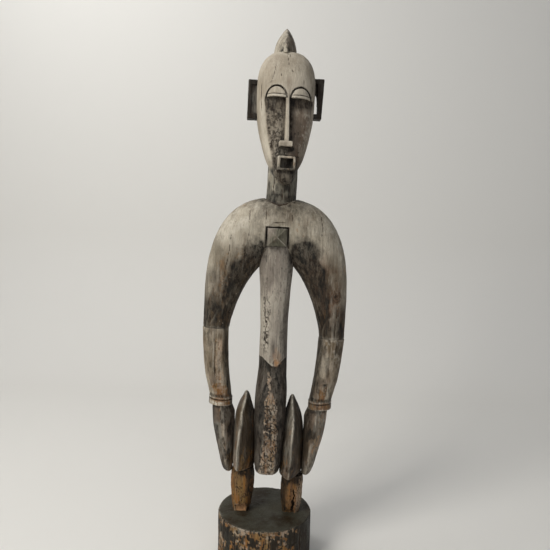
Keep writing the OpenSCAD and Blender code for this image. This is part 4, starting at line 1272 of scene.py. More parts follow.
def carve_hand(side):
    s = sizes()
    low, high = reach(f"{SIDES[side]}_hand")
    tip, top = low[2], high[2]
    face = min(abs(low[0]), abs(high[0])) + 0.2
    shape = [  # height, half width, front, back, middle
        (tip, 3.5, 4, 4, 83.5), (tip + 4, 8.5, 9, 9, 84), (tip + 9, 11, 13, 12, 85),
        (tip + 19, 13.8, 17, 16, 86), (125, 17.3, 21, 21, 88), (149, 20.3, 25, 24, 91),
        (171, 22.7, 27, 26, 94), (195, 24.2, 27, 26, 97), (214, 24.6, 26, 25, 98.5),
        (top, 21.2, 23, 23, 103),
    ]
    rows = [(h, w, w, f, b, side * x, 0) for h, w, f, b, x in shape]

    def field(p):
        body = pillar(p, rows, 1.55, 2.0, 1.2)
        return both(body, face - side * p[0], 1.0)

    hand = mesh_solid(field, low, high, s.fine_cell * 1.1)
    dress(hand, 110 + side, 1.0, 0.8, 0.18, 4)
    v, n = hand.v, hand.normals()
    h = v[:, 2]
    x0 = np.interp(h, [r[0] for r in rows], [r[5] for r in rows])
    u = side * (v[:, 0] - x0)
    front = v[:, 1] < -4
    on_ridge = np.exp(-((u + 0.5) / 4.5) ** 2) * front
    low_part = step(-h, -150, -115)
    if side == RIGHT:
        where = 0.65 * on_ridge * step(-h, -200, -160) + 0.30 * low_part * step(-u, -2, 8)
        hand.paint["fresh"] = 0.5 * step(-u, 2, 8) * low_part * front * blotches(0, 0.5, v, 9, 111, 3, 3)
    else:
        where = 0.34 * step(u, -4, 6) * front * step(h, 120, 160) + 0.3 * on_ridge * low_part
        hand.paint["fresh"] = 0.0
    flake(hand, 0.14 + where, 12, s.crust, s.seed + 112 + side, 4)
    ridge_wear = on_ridge * blotches(-0.6, 0.1, v, 12, 113, 3, 4)
    hand.paint["bare"] = np.maximum(hand.paint["bare"], 0.5 * ridge_wear)
    hand.paint["pale"] = 0.55 * ridge_wear
    hand.paint["pale"] += 0.25 * step(u, 2, 9) * front * (side == LEFT)
    smears = blotches(0.0, 0.4, v, 14, 115, 4, 2.2)
    hand.paint["brown"] = 0.7 * blotches(-0.2, 0.4, v, 18, 116, 3, 2)
    # the dark paint: smeared soot, with painted shade on the inner side, on faces turned to the back and at
    # the top under the bracelet
    soot_and_shade = 0.25 + 0.45 * smears + 0.30 * step(-u, 4, 16) + 0.3 * step(n[:, 1], 0.1, 0.7)
    soot_and_shade += 0.5 * step(h, top - 9, top - 2) - 0.25 * (side == LEFT) * step(u, 0, 8)
    hand.paint["soot_and_shade"] = np.clip(soot_and_shade, 0, 1)
    return hand


def carve_neck():
    s = sizes()
    low, high = reach("neck")
    r = (high[0] - low[0]) / 2
    cy = (low[1] + high[1]) / 2
    seat, top = 664.0, 766.0
    rows = [(seat, r, r, r, r, 1, cy), (700, r - 0.6, r - 0.3, r, r, 1.5, cy),
            (top, r - 1, r - 1, r, r, 1.5, cy)]

    def field(p):
        return pillar(p, rows, 2.35, 2.15, 1.0)

    neck = mesh_solid(field, (low[0], low[1], seat), (high[0], high[1], top), s.fine_cell * 1.1)
    dress(neck, 120, 0.95, 1.0, 0.24, 5)
    for path in (
        ((2, 700), (4, 680), (3, 668)), ((-14, 726), (-16, 700), (-13, 684)), ((17, 712), (18, 690)),
    ):
        crack(neck, path, 1.2, 1.4, seed=s.seed + 121)
    v, n = neck.v, neck.normals()
    seam = step(-v[:, 2], -690, -680)
    # painted shade on the side turned from the light, darker at the foot and in blotches
    neck.paint["soot_and_shade"] = np.clip(0.22 + 0.26 * step(v[:, 0], 2, 22) + 0.4 * seam
                                 + 0.4 * blotches(0, 0.5, v, 14, 122, 3, 2.5), 0, 1)
    # painted highlight on faces turned to the light
    neck.paint["pale"] = 0.35 * step(-n[:, 0], 0.3, 0.8) * blotches(-0.4, 0.4, v, 15, 123, 3, 3)
    flake(neck, np.full(len(v), 0.2), 9, 0.4, s.seed + 124, 4)
    neck.paint["bare"] = neck.paint["bare"] * 0.3
    return neck


HEAD_ROWS = (
    (714, 9, 9, 12, 10, 0, -40), (718, 16, 18, 21, 22, 0, -38), (725, 21, 24, 30, 32, 0, -34),
    (735, 26, 30, 42, 44, 0, -24), (755, 35, 39.5, 56, 50, 0, -11), (776, 42, 46, 59, 55, 0, -5),
    (797, 48.2, 51.2, 60, 60, 0, 0), (839, 57.4, 58.6, 61, 68, 0, 4), (880, 60.3, 60.4, 62, 73, 0, 5),
    (903, 60.6, 60.6, 62, 72, 0, 5), (926, 59, 59, 58, 67, 0, 5), (941, 56, 56, 53, 61, 0, 5),
    (955, 50, 50, 45, 52, 0, 5), (966, 41, 41, 36, 42, 0, 5), (974, 28, 28, 25, 29, 0, 5),
    (978, 12, 12, 12, 14, 0, 5),
)


def face_width(h):
    """Half width of the sunk part of the face at each height."""
    return np.interp(h, [700, 722, 745, 785, 830, 871, 884, 893, 900],
                     [12, 19, 26, 36, 43.5, 47, 46, 40, 30])


LID_H = 876  # lower edge of the eyelids
LID_GROOVE = 5.3  # height of the groove over that edge
MOUTH = (2.9, 744.4)  # middle of the mouth's opening, across and up
LIDS = (  # middle, half width, height, slope and rise of each eyelid's lower edge
    (-22.3, 20.8, 22.2, -0.07, 0.7),
    (26.9, 22.2, 21.7, 0.06, 0.0),
)


def lid_shape(x, h, lid):
    """The signed distance inside an eyelid's arch, and the height over the lid's lower edge."""
    middle_x, half, tall, slope, rise = lid
    u = x - middle_x
    over = h - (LID_H + rise + slope * u - 0.004 * np.maximum(u * np.sign(middle_x), 0) ** 2)
    arch = (np.sqrt((u / half) ** 2 + (np.maximum(over, 0) / tall) ** 2) - 1) * half
    return arch, over


def nose_line(h):
    """Middle of the nose at each height."""
    t = np.clip((h - 786) / 100, 0, 1)
    return 1.7 - 2.4 * t * t


def field_head(p):
    x, y, h = p
    skull = pillar(p, HEAD_ROWS, 2.25, 2.1, 2.0)
    ax = np.abs(x - 1.5)
    on_left = step(x, 0, 20)

    # the sunk plane of the cheeks and jaw, deepest beside the nose and under the eyelids
    width = face_width(h) + 8 * on_left
    across = np.clip(ax / width, 0, 1)
    under_lids = np.clip((h - 846) / 24, 0, 1)
    sunk = 2.4 - 2.0 * on_left + 5.0 * (1 - across**2) + 3.5 * under_lids * (1 - 0.5 * across**2)
    region = np.maximum(np.maximum(ax - width, h - (LID_H + 3)), 712 - h)
    cheeks = np.maximum(both(region, -(skull + sunk), 7.0), y + 6)
    head = cut_out(skull, cheeks, 4.0)

    # the eyelids: each fills a niche that is let into the forehead, and hangs over the cheek
    for lid in LIDS:
        arch, over = lid_shape(x, h, lid)
        niche = both(np.maximum(np.maximum(arch, -over - 1), y + 6), -(skull + 4.6), 0.6)
        head = cut_out(head, niche, 0.5)
        swell = np.clip(-arch / (0.55 * lid[1]), 0, 1)
        groove = np.exp(-((over - LID_GROOVE) / 0.8) ** 2)
        inset = 2.6 - 3.6 * swell * (2 - swell) - 1.1 * (over < 4.4) + 1.0 * groove
        cover = both(both(arch + 2.1, -over, 0.8), skull + inset, 0.8)
        head = blend_in(head, np.maximum(cover, y + 6), 0.4)

    # the nose: a blade from the brow to the bar of the nostrils
    t = np.clip((h - 786) / 100, 0, 1)
    front = -75.5 + 17.5 * t
    half = 3.3 - 0.9 * t + 0.08 * np.maximum(y - front, 0)
    blade = np.maximum(np.abs(x - nose_line(h)) - half, front - y)
    blade = np.maximum(blade, y + 30)
    blade = both(blade, np.maximum(h - 892, 780 - h), 2)
    wedge = np.abs(x - 0.4) - (2.6 + 0.30 * np.clip(h - 870, 0, 60))
    brow = np.maximum(np.maximum(wedge, skull + 0.4), np.maximum(h - 915, 862 - h))
    head = blend_in(head, blade, 1.0)
    head = blend_in(head, brow, 2.0)
    bar = block(p, (-0.4, -63, 782.4), (13.0, 15.5, 5.0), 1.2)
    head = blend_in(head, bar, 0.8)

    # the mouth: a square frame standing proud of a dark hollow
    frame_out = block(p, (2.4, -62, 744.6), (17.9, 18, 13.4), 3.0)
    frame_in = block(p, (MOUTH[0], -83, MOUTH[1]), (12.6, 21, 9.6), 2.2)
    mouth = np.maximum(frame_out, -(y + 80.2 - 0.12 * (758 - h)))
    head = blend_in(head, mouth, 0.8)
    head = cut_out(head, frame_in, 1.6)
    nicks = block(p, (4, -80, 733.5), (1.6, 3, 3), 1)
    nicks = np.minimum(nicks, block(p, (-13, -80, 734), (2.4, 3, 2.4), 1))
    head = cut_out(head, nicks, 0.8)

    # the chin, cut as a blunt wedge in front of the neck
    chin = pillar(p, ((704.5, 7, 7, 8, 14, 4.5, -49), (708, 12, 12, 13, 16, 4.5, -49),
                      (714, 15.5, 15.5, 17, 18, 4.5, -49), (722, 18.5, 19, 20, 20, 4, -48),
                      (733, 21.5, 22, 22, 24, 3, -46)), 2.8, 2.2, 2.0)
    head = blend_in(head, chin, 1.2)

    # the housing of the neck, left a little open round it
    throat = np.maximum(np.hypot(x, y - 3) - 31.4, h - 764)
    return cut_out(head, throat, 1.0)


def carve_head():
    s = sizes()
    low, high = reach("head", ON_NECK)
    head = mesh_solid(field_head, low, high, s.fine_cell * 1.09)
    v = head.v
    smooth_part = step(v[:, 2], 884, 915) + step(v[:, 1], -20, 10)
    keep = head.v.copy()
    adze(head, s.stroke * 0.9, s.bite * 0.9, s.seed + 130, 2.2)
    head.v = keep + (head.v - keep) * np.clip(smooth_part, 0.12, 1)[:, None]
    v = head.v
    sunk = field_skull(v)
    in_face = step(-sunk, 0.6, 4.4) * (v[:, 1] < -10) * step(LID_H + 2 - v[:, 2], -1, 2)
    pits = blotches(0.45, 0.75, v, 4.5, 139, 2, 1.2) * step(-v[:, 0], -2, 4)
    head.push(in_face * (0.3 * cloud(v, 5, 138, 3) - 0.5 * pits))
    for path, wide, deep in (
        (((-1.5, 972), (-2.5, 955), (-0.5, 936)), 0.6, 0.6),
        (((2.5, 966), (3.0, 946)), 0.5, 0.5),
        (((-24, 944), (-29, 922), (-34, 904)), 0.5, 0.5),
        (((50, 905), (51, 880), (50, 852)), 0.7, 0.8),
        (((-52, 905), (-52, 880), (-50, 850)), 0.7, 0.8),
        (((-15, 922), (-14.5, 916)), 1.1, 0.9),
        (((7, 930), (8, 925)), 1.2, 1.0),
    ):
        crack(head, path, wide, deep, seed=s.seed + int(path[0][1]))
    for path in (((8, 950), (10, 900), (7, 850), (9, 800)), ((-26, 930), (-28, 880), (-25, 840))):
        crack(head, path, 1.5, 1.8, seed=s.seed + 131, facing=1)
    weather(head, s.seed + 132, 0.10)
    paint_head(head, in_face)
    return head


def paint_head(head, in_face):
    """Patina, painted shade and painted highlights of the head: in_face is 1 on the sunk part of the face.
    """
    v, n = head.v, head.normals()
    x, y, h = v.T
    front = step(-y, 10, 30)
    left_half = step(x, 2, 8)
    nose_x = nose_line(h)
    # painted shadow that the nose casts beside it, on the side away from the light
    nose_shadow = in_face * np.exp(-np.maximum(x - nose_x - 4, 0) / 5.0) * (x > nose_x) * (h > 772)
    # painted shadow under the overhanging eyelids
    lid_shadow = in_face * step(h, 846, 868)
    low_face = step(-h, -770, -752) * front * (y < -25)
    # painted shadow under the nostril bar
    bar_shadow = step(-np.hypot((x - 1) / 20, (h - 775) / 9), -1.0, -0.55) * (y < -30) * (y > -72)
    # painted shade inside the mouth's hollow
    mouth = (np.abs(x - MOUTH[0]) < 13.5) & (np.abs(h - MOUTH[1]) < 10.4) & (y < -58) & (y > -74)
    frame_front = step(-y, 74, 76) * (h > 728) * (h < 762)
    # painted shadow round the foot of the mouth's frame
    frame_shadow = step(-np.maximum(np.abs(x - 2.6) - 18, np.abs(h - 744) - 14), -5, -0.5)
    frame_shadow = frame_shadow * (1 - frame_front) * front
    chin = step(-h, -733, -727) * step(-y, 44, 52)
    # painted shade on the chin's underside
    chin_underside_shade = chin * step(-n[:, 2], 0.25, 0.7)
    nostril = (y < -72) & (np.abs(h - 782) < 7)
    specks = blotches(0.16, 0.40, v, 4.2, 133, 4, 1.2)
    curls = 1 - step(plates(v, 7, 141, 1.2) + 0.22 * cloud(v, 4, 142), 0.03, 0.12)
    marked = blotches(-0.3, 0.3, v, 17, 143, 2)
    crust = np.maximum(0.35 * specks, 0.5 * curls * marked)
    grime_and_shade = in_face * (0.48 - 0.20 * left_half + (1 - left_half) * crust)
    grime_and_shade += 0.55 * in_face * left_half * specks * blotches(0.15, 0.5, v, 13, 140, 2)
    grime_and_shade += 0.60 * lid_shadow + 0.85 * nose_shadow + 0.75 * bar_shadow + 0.95 * frame_shadow
    chin_half = np.interp(h, [704, 708, 714, 722, 733], [6, 11, 14.5, 17.5, 20.5])
    # painted shadow along the chin's outline
    chin_outline_shade = np.exp(-((np.abs(x - 4) - chin_half) / 1.6) ** 2) * (h < 735) * (y < -40)
    grime_and_shade += 0.25 * low_face + 0.42 * chin + 0.9 * chin_outline_shade + 0.8 * chin_underside_shade + 0.8 * mouth
    # darker below the mouth's middle outside the chin, and painted shade on the chin's sides
    grime_and_shade += 0.6 * step(-h, -746, -728) * (1 - chin) + 0.75 * chin * step(np.abs(n[:, 0]), 0.45, 0.75)
    # painted shade in the groove round each lid's arch and over its lower edge
    groove_shade, edge = np.zeros(len(v)), np.zeros(len(v))
    for lid in LIDS:
        arch, over = lid_shape(x, h, lid)
        groove_shade += 1.2 * step(-np.abs(arch + 0.8), -2.4, -1.2) * (over > -1) * (y < -30)
        groove_shade += 0.9 * np.exp(-((over - LID_GROOVE) / 0.9) ** 2) * (arch < -4) * (y < -30)
        # edge marks the bead along each lid's lower edge, which gets a painted highlight
        edge += step(-np.abs(over - 1.8), -2.6, -1.6) * (arch < -1.5) * (y < -45)
    grime_and_shade += 0.3 * nostril * blotches(-0.5, 0.4, v, 5, 145, 3)
    # painted shade on faces turned to the back and to the side away from the light
    grime_and_shade += groove_shade + 0.16 * step(n[:, 1], 0.2, 0.9) + 0.30 * step(n[:, 0], 0.6, 0.95)
    head.paint["soot_and_shade"] = np.clip(grime_and_shade, 0, 1)

    outer_left = step(x - face_width(h), -16, -2) * step(-h, -862, -840)
    lids = (h > LID_H - 4) & (h < LID_H + 26) & (np.abs(np.abs(x - 2.5) - 24.5) < 20) & (y < -40)
    right_rim = np.exp(-((-x + 1.5 - face_width(h) - 4.5) / 4.5) ** 2)
    right_rim = right_rim * step(LID_H - h, -5, 10) * step(h, 740, 760)
    left_rim = outer_left * front * blotches(0.05, 0.35, v, 7, 135, 3) * step(h, 765, 790)
    nose = (y < -58) * (np.abs(x - nose_x) < 5) * (h > 790) * (h < 884)
    brow_spot = np.exp(-((x - 1) / 6) ** 2 - ((h - 905) / 12) ** 2) * front
    pale = 0.30 * blotches(-0.2, 0.6, v, 26, 134, 3, 2) * step(h, 900, 925) * front
    # painted highlights: the face's rim on the side turned to the light, and the bead along each lid's
    # lower edge
    pale += 0.7 * right_rim * front * (x < 0) + 0.8 * left_rim + 0.8 * edge + 0.15 * lids
    pale += 0.60 * frame_front * blotches(-0.2, 0.4, v, 6, 144, 2) + 0.10 * nostril + 0.08 * nose
    head.paint["pale"] = np.clip(pale, 0, 1) * (1 - head.paint["soot_and_shade"])
    # the outer rim of the face's left side, turned from the light, is browned as painted shade
    brown = in_face * (0.10 + 0.60 * left_half) * (1 - chin) + 0.35 * outer_left * front
    head.paint["brown"] = np.clip(brown + 0.5 * brow_spot + 0.7 * frame_front * step(x, 6, 14), 0, 1)
    head.paint["fresh"] = 0.30 * frame_front * blotches(0.1, 0.6, v, 7, 136, 2) * (x > 4)
    unworn = np.clip(chin + mouth + in_face + 0.9 * outer_left + 0.6 * nostril, 0, 1)
    head.paint["ridge"] *= 1 - 0.85 * unworn
    head.paint["facet"] = 0.5
    flake(head, 0.10 * in_face + 0.5 * left_rim, 7, 0.3, sizes().seed + 137, 2)
    head.paint["bare"] = head.paint["bare"] * (0.25 + 0.35 * left_rim)


def field_skull(v):
    """How far inside the uncut block of the head each point lies."""
    return pillar([v[:, 0], v[:, 1], v[:, 2]], HEAD_ROWS, 2.25, 2.1, 2.0)


def carve_crest():
    s = sizes()
    low, high = reach("crest", ON_NECK)
    foot, tip = low[2] + 3, high[2]
    cx = (low[0] + high[0]) / 2
    cy = (low[1] + high[1]) / 2
    half, deep = (high[0] - low[0]) / 2, (high[1] - low[1]) / 2

    def field(p):
        u = np.clip((p[2] - low[2]) / (tip - low[2]), 0, 1)
        w = np.maximum(1 - u**2.5, 0.0)
        a = np.abs(p[0] - cx - 1.5 * u) / (half * w + 0.9)
        b = np.abs(p[1] - cy - 4 * u) / (deep * w + 1.2)
        n = np.where(p[1] < cy, 1.35, 1.7)
        body = ((a**n + b**n) ** (1 / n) - 1) * (half * w + 0.9)
        return both(body, np.maximum(p[2] - tip, foot - p[2]), 1.0)

    crest = mesh_solid(field, (low[0], low[1], foot), high, s.fine_cell)
    dress(crest, 140, 0.9, 0.6, 0.16, 3)
    v, n = crest.v, crest.normals()
    on_edge = np.exp(-((v[:, 0] - cx - 2) / 3) ** 2) * (v[:, 1] < cy)
    # painted highlight on faces turned to the light
    crest.paint["pale"] = np.clip(0.30 * step(-n[:, 0], 0.1, 0.6) + 0.3 * on_edge, 0, 1)
    seam = step(-v[:, 2], -980, -973)
    blotch = blotches(0.05, 0.45, v, 9, 142, 3, 1.6) * step(np.abs(v[:, 0] - cx - 1), 22, 8)
    # painted shade on faces turned from the light and to the back, with soot blotches
    soot_and_shade = 0.12 + 0.15 * step(n[:, 0], 0.2, 0.7) + 0.4 * seam * blotch + 0.35 * blotch
    crest.paint["soot_and_shade"] = np.clip(soot_and_shade + 0.2 * step(n[:, 1], 0, 1), 0, 1)
    crest.paint["brown"] = 0.7 * blotches(-0.1, 0.5, v, 12, 141, 3, 2) * step(v[:, 0], cx - 12, cx)
    return crest


def carve_ear(side):
    s = sizes()
    low, high = reach(f"{SIDES[side]}_ear", ON_NECK)
    outer = high[0] if side == LEFT else -low[0]
    top, foot = high[2], low[2]
    mid_y, deep = (low[1] + high[1]) / 2, (high[1] - low[1]) / 2
    inner = 53.0

    def bar(p, a, b, c, d, r=1.2, y0=0.0, half=None):
        """A flat strip between two corners, given as distance out and height."""
        return block(p, (side * (a + c) / 2, mid_y + y0, (b + d) / 2),
                     (abs(c - a) / 2, half or deep - 0.4, abs(d - b) / 2), r)

    def field(p):
        out = side * p[0]
        head_bar = bar(p, inner, top - 9.5, outer, top)
        foot_bar = bar(p, inner, foot, outer - 2, foot + 10)
        if side == RIGHT:
            wall = bar(p, outer - 7, foot, outer, top)
            web = bar(p, inner, foot, outer, top, 1.0, 1.3, deep - 1.8)
        else:
            rise = np.clip((p[2] - foot) / (top - foot), 0, 1)
            wall = np.maximum(bar(p, 58, foot, outer, top), outer - 9.5 - 5 * rise - out)
            slit = np.clip((foot + 62 - p[2]) / 20, 0, 1)
            web = np.maximum(bar(p, inner, foot, outer, top, 1.0, 4.5, deep - 5.5), 56 + 14 * slit - out)
        body = blend_in(blend_in(blend_in(head_bar, foot_bar, 1), wall, 1.2), web, 1.0)
        if side == LEFT:
            body = both(body, out - outer + 2.5 * (1 - rise), 1.0)
        return body

    ear = mesh_solid(field, (min(low[0], high[0]), low[1], foot), high, s.fine_cell)
    dress(ear, 150 + side, 0.8, 0.7, 0.18, 3)
    v, n = ear.v, ear.normals()
    edge = step(ear.swell(6), 0.12, 0.3)
    ear.paint["ridge"] = edge * 0.25
    bands = cloud(v, 12, 151, 3, 5)
    panel = step(v[:, 1] - low[1], 1.5, 2.6) * (n[:, 1] < -0.5) * (side == RIGHT)
    ear.paint["soot_and_shade"] = np.clip((1.0 if side == LEFT else 0.75) + 0.3 * bands - 0.45 * panel, 0, 1)
    ear.paint["brown"] = 0.2 * step(bands, 0.1, 0.7)
    low_bar = np.exp(-((v[:, 2] - foot - 7) / 3.5) ** 2) * (n[:, 1] < 0)
    ear.paint["pale"] = (0.5 if side == RIGHT else 0.15) * low_bar * blotches(-0.2, 0.4, v, 7, 152, 3)
    ear.paint["pale"] += 0.14 * panel
    return ear


def carve_stud():
    low, high = reach("chest_stud")
    centre = (low + high) / 2 + STUD_SHIFT
    half_w, half_h = (high[0] - low[0]) / 2 - 3.0, (high[2] - low[2]) / 2 - 1.0
    front = low[1]

    def field(p):
        u, w = (p[0] - centre[0]) / half_w, (p[2] - centre[2]) / half_h
        rise = 7.0 * np.maximum(np.abs(u + 0.02), np.abs(w - 0.06))
        shaft = block(p, (centre[0], -45, centre[2]), (half_w, 16, half_h), 1.2)
        return both(shaft, front + rise - p[1], 0.6)

    stud = mesh_solid(field, (low[0], front, low[2]), (high[0], -28, high[2]), 0.9)
    dress(stud, 160, 0.9, 0.35, 0.16, 1.5)
    v, n = stud.v, stud.normals()
    rim = np.maximum(np.abs(v[:, 0] - centre[0]) / half_w, np.abs(v[:, 2] - centre[2]) / half_h)
    # painted shade on facets turned from the light and downward, and a painted shadow at the edge in the
    # groove
    stud.paint["soot_and_shade"] = np.clip(0.06 + 0.24 * step(n[:, 0], 0.12, 0.4) + 0.28 * step(-n[:, 2], 0.12, 0.5)
                                 + 0.7 * step(rim, 0.90, 1.0) + 0.15 * cloud(v, 9, 161, 3), 0, 1)
    off_crease = v[:, 0] - centre[0] + (v[:, 2] - centre[2]) * 1.15
    crease = np.exp(-(off_crease / 1.4) ** 2) * (v[:, 0] > centre[0])
    # painted highlight on facets turned up and to the light
    stud.paint["pale"] = 0.35 * crease + 0.20 * step(-n[:, 0] + n[:, 2], 0.2, 0.6)
    return stud


# ---------------------------------------------------------------- operators

class FigureOperator(bpy.types.Operator):
    """Base of the operators that make one kind of piece."""
    bl_options = {"REGISTER"}

    def build(self):
        raise NotImplementedError

    def execute(self, context):
        self.build()
        return {"FINISHED"}


class FIGURE_OT_base(FigureOperator):
    """Turn the drum of the base, with its flaked side and smooth dark top"""
    bl_idname = "figure.base"
    bl_label = "Base"

    def build(self):
        c = colours()
        finish = aged_hardwood("stained hardwood, base", c.base, lit(c.neck, 0.42), speck=0.15, sheen=0.55,
                               warm=0.1, wear=0.2, mottle=0.1, fissures=0.1, grain=0.4)
        to_piece("base_drum", carve_base(), Matrix.Identity(4), finish, ["base"], (0.9, 9))


class FIGURE_OT_legs(FigureOperator):
    """Carve the post legs, with their chips and splits"""
    bl_idname = "figure.legs"
    bl_label = "Legs"

    def build(self):
        c = colours()
        finish = aged_hardwood("rubbed bare hardwood, legs", c.bare, c.ochre, warm=0.6, wear=0.3)
        for side, word in SIDES.items():
            to_piece(f"{word}_leg_post", carve_leg(side), STAND, finish, [f"{word}_leg"],
                     (0.5, 7))


class FIGURE_OT_thighs(FigureOperator):
    """Carve the leaf-shaped thighs with their front ridges"""
    bl_idname = "figure.thighs"
    bl_label = "Thighs"

    def build(self):
        c = colours()
        finish = aged_hardwood("waxed dark hardwood, thighs", c.thigh, lit(c.silvered_and_highlight, 0.3), speck=0.3,
                               sheen=0.5, warm=0.5)
        for side, word in SIDES.items():
            to_piece(f"{word}_thigh_leaf", carve_thigh(side), STAND, finish, [f"{word}_thigh"],
                     (0.8, 6))


class FIGURE_OT_trunk(FigureOperator):
    """Carve the trunk with its belly step and flaking hip"""
    bl_idname = "figure.trunk"
    bl_label = "Trunk"

    def build(self):
        finish = aged_hardwood("weathered hardwood, trunk", colours().trunk, warm=0.3, speck=0.45,
                               fissures=0.35, grain=0.6)
        to_piece("trunk_post", carve_trunk(), STAND, finish, ["trunk"], (1.6, 5))


class FIGURE_OT_shoulders(FigureOperator):
    """Carve the arch of the shoulders and upper arms"""
    bl_idname = "figure.shoulders"
    bl_label = "Shoulders"

    def build(self):
        finish = aged_hardwood("weathered hardwood, shoulders", colours().chest, warm=0.45, speck=0.35,
                               mottle=0.25, fissures=0.2, grain=0.4)
        to_piece("shoulder_arch", carve_shoulders(), STAND, finish, ["shoulder_yoke"],
                 (0.5, 5))


class FIGURE_OT_forearms(FigureOperator):
    """Carve the forearms with their rubbed flats"""
    bl_idname = "figure.forearms"
    bl_label = "Forearms"

    def build(self):
        finish = aged_hardwood("handled hardwood, forearms", colours().arm, warm=0.55, fissures=0.3,
                               grain=0.55)
        for side, word in SIDES.items():
            to_piece(f"{word}_lower_arm", carve_forearm(side), STAND, finish, [f"{word}_forearm"],
                     (0.8, 6))


class FIGURE_OT_bracelets(FigureOperator):
    """Turn the bracelets at the wrists"""
    bl_idname = "figure.bracelets"
    bl_label = "Bracelets"

    def build(self):
        c = colours()
        finish = aged_hardwood("worn hardwood, bracelets", c.hand, lit(c.silvered_and_highlight, 0.4), speck=0.3,
                               sheen=0.5, warm=0.5)
        for side, word in SIDES.items():
            to_piece(f"{word}_wrist_ring", carve_bracelet(side), STAND, finish, [f"{word}_bracelet"])


class FIGURE_OT_hands(FigureOperator):
    """Carve the leaf-shaped hands"""
    bl_idname = "figure.hands"
    bl_label = "Hands"

    def build(self):
        c = colours()
        finish = aged_hardwood("waxed dark hardwood, hands", c.hand, lit(c.silvered_and_highlight, 0.4), speck=0.35,
                               sheen=0.52, warm=0.5)
        for side, word in SIDES.items():
            to_piece(f"{word}_hand_leaf", carve_hand(side), STAND, finish, [f"{word}_hand"],
                     (0.8, 6))


class FIGURE_OT_neck(FigureOperator):
    """Carve the neck"""
    bl_idname = "figure.neck"
    bl_label = "Neck"

    def build(self):
        finish = aged_hardwood("smoked hardwood, neck", colours().neck, warm=0.2, sheen=0.55, fissures=0.4,
                               grain=0.6)
        to_piece("neck_post", carve_neck(), STAND, finish, ["neck"])


class FIGURE_OT_head(FigureOperator):
    """Carve the head with its mask-like face"""
    bl_idname = "figure.head"
    bl_label = "Head"

    def build(self):
        finish = aged_hardwood("weathered hardwood, head", colours().head, warm=0.2, speck=0.15, mottle=0.1,
                               fissures=0.12, grain=0.3)
        to_piece("head_mask", carve_head(), ON_NECK, finish, ["head"])


class FIGURE_OT_crest(FigureOperator):
    """Carve the pointed crest"""
    bl_idname = "figure.crest"
    bl_label = "Crest"

    def build(self):
        finish = aged_hardwood("weathered hardwood, crest", colours().chest, warm=0.5, speck=0.25,
                               fissures=0.2, grain=0.4)
        to_piece("crest_fin", carve_crest(), ON_NECK, finish, ["crest"])


class FIGURE_OT_ears(FigureOperator):
    """Carve the bracket-shaped ears"""
    bl_idname = "figure.ears"
    bl_label = "Ears"

    def build(self):
        c = colours()
        finish = aged_hardwood("blackened hardwood, ears", c.ear, lit(c.silvered_and_highlight, 0.15), warm=0.2,
                               sheen=0.5, wear=0.4)
        for side, word in SIDES.items():
            to_piece(f"{word}_ear_bracket", carve_ear(side), ON_NECK, finish, [f"{word}_ear"])


class FIGURE_OT_stud(FigureOperator):
    """Carve the pyramid-headed stud of the chest"""
    bl_idname = "figure.stud"
    bl_label = "Chest stud"

    def build(self):
        finish = aged_hardwood("weathered hardwood, stud", colours().neck, colours().trunk, warm=0.3,
                               speck=0.2, wear=0.4, fissures=0.1, grain=0.3)
        to_piece("chest_pyramid", carve_stud(), STAND, finish, ["chest_stud"])


class FIGURE_OT_pegs(FigureOperator):
    """Give the hidden dowels and pegs their wood"""
    bl_idname = "figure.pegs"
    bl_label = "Pegs"

    def build(self):
        c = colours()
        finish = aged_hardwood("riven hardwood, pegs", c.bare, c.ochre, speck=0.1, mottle=0.1)
        for name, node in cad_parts.items():
            if "dowel" in name or name == "neck_peg":
                node.data.materials.clear()
                node.data.materials.append(finish)


class FIGURE_OT_stage(FigureOperator):
    """Set the pale floor and backdrop, the soft lights and the camera"""
    bl_idname = "figure.stage"
    bl_label = "Stage"

    def build(self):
        stage_floor()
        stage_lights()
        stage_camera()


def stage_floor():
    """A sheet of pale paper that runs back and curves up behind the figure."""
    back, bend, wide, tall = 1.15, 0.7, 7.0, 4.0
    line = [(-4.0, 0.0), (0.0, 0.0)]
    bow = np.linspace(0, math.pi / 2, 24)
    line += [(back + bend * math.sin(a), bend - bend * math.cos(a)) for a in bow]
    line += [(back + bend, tall)]
    points = [(x, y, z) for y, z in line for x in (-wide, wide)]
    faces = [(2 * i, 2 * i + 1, 2 * i + 3, 2 * i + 2) for i in range(len(line) - 1)]
    mesh = bpy.data.meshes.new("studio_paper")
    mesh.from_pydata(points, [], faces)
    mesh.polygons.foreach_set("use_smooth", [True] * len(mesh.polygons))
    material = bpy.data.materials.new("matt studio paper")
    material.use_nodes = True
    shader = material.node_tree.nodes["Principled BSDF"]
    shader.inputs["Base Color"].default_value = lit(hex_colour("E3E1DC"))
    shader.inputs["Roughness"].default_value = 0.95
    mesh.materials.append(material)
    paper = bpy.data.objects.new("studio_paper", mesh)
    bpy.context.scene.collection.objects.link(paper)


def area_light(name, place, target, size, power, tint):
    light = bpy.data.lights.new(name, "AREA")
    light.shape = "RECTANGLE"
    light.size, light.size_y = size
    light.energy = power
    light.color = hex_colour(tint)
    lamp = bpy.data.objects.new(name, light)
    lamp.location = place
    lamp.rotation_euler = (Vector(target) - Vector(place)).to_track_quat("-Z", "Y").to_euler()
    bpy.context.scene.collection.objects.link(lamp)


def stage_lights():
    low, high = CAD_BOX
    chest = (0, 0, low[2] + 0.62 * (high[2] - low[2]))
    area_light("window_light", (-1.5, -1.5, 2.1), (0, 0, 0.8), (1.1, 1.3), 50, "FFFCF6")
    area_light("front_fill", (0.8, -2.6, 1.5), chest, (2.0, 1.6), 9, "F3F6FF")
    area_light("wall_light", (-1.2, 0.5, 2.8), (0.2, 1.6, 1.1), (1.6, 1.0), 20, "FFFFFF")
    world = bpy.data.worlds.new("studio")
    world.use_nodes = True
    world.node_tree.nodes["Background"].inputs[0].default_value = lit(hex_colour("DADDE2"))
    world.node_tree.nodes["Background"].inputs[1].default_value = 0.33
    bpy.context.scene.world = world
    bpy.context.scene.view_settings.view_transform = "Standard"


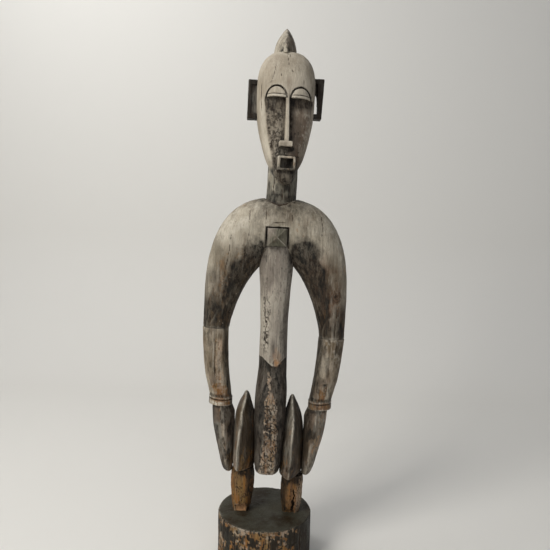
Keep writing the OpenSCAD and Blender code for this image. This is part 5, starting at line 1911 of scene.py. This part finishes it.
CAMERA_PLACE = (0.0096, -1.168, 0.698)
CAMERA_DOWN = math.radians(4.4)
CAMERA_ROLL = math.radians(1.5)
CAMERA_LENS = 36.07


def stage_camera():
    data = bpy.data.cameras.new("camera")
    data.sensor_width = 36.0
    data.lens = CAMERA_LENS
    camera = bpy.data.objects.new("camera", data)
    look = Matrix.Rotation(math.pi / 2 - CAMERA_DOWN, 4, "X")
    roll = Matrix.Rotation(CAMERA_ROLL, 4, "Z")
    camera.matrix_world = Matrix.Translation(CAMERA_PLACE) @ look @ roll
    bpy.context.scene.collection.objects.link(camera)
    bpy.context.scene.camera = camera


OPERATORS = (
    FIGURE_OT_base, FIGURE_OT_legs, FIGURE_OT_thighs, FIGURE_OT_trunk, FIGURE_OT_shoulders,
    FIGURE_OT_forearms, FIGURE_OT_bracelets, FIGURE_OT_hands, FIGURE_OT_neck, FIGURE_OT_head,
    FIGURE_OT_crest, FIGURE_OT_ears, FIGURE_OT_stud, FIGURE_OT_pegs, FIGURE_OT_stage,
)


class FIGURE_PT_panel(bpy.types.Panel):
    """Lists the pieces of the figure and their settings"""
    bl_idname = "FIGURE_PT_panel"
    bl_label = "Ancestor figure"
    bl_space_type = "VIEW_3D"
    bl_region_type = "UI"
    bl_category = "Figure"

    def draw(self, context):
        for group in (context.scene.figure_sizes, context.scene.figure_colours):
            box = self.layout.box()
            for name in group.__annotations__:
                box.prop(group, name)
        for operator in OPERATORS:
            self.layout.operator(operator.bl_idname)


CLASSES = (FigureSizes, FigureColours, *OPERATORS, FIGURE_PT_panel)


def register():
    for cls in CLASSES:
        bpy.utils.register_class(cls)
    bpy.types.Scene.figure_sizes = PointerProperty(type=FigureSizes)
    bpy.types.Scene.figure_colours = PointerProperty(type=FigureColours)


def unregister():
    del bpy.types.Scene.figure_colours
    del bpy.types.Scene.figure_sizes
    for cls in reversed(CLASSES):
        bpy.utils.unregister_class(cls)


def main():
    register()
    for operator in OPERATORS:
        group, name = operator.bl_idname.split(".")
        getattr(getattr(bpy.ops, group), name)()


if __name__ == "__main__":
    main()
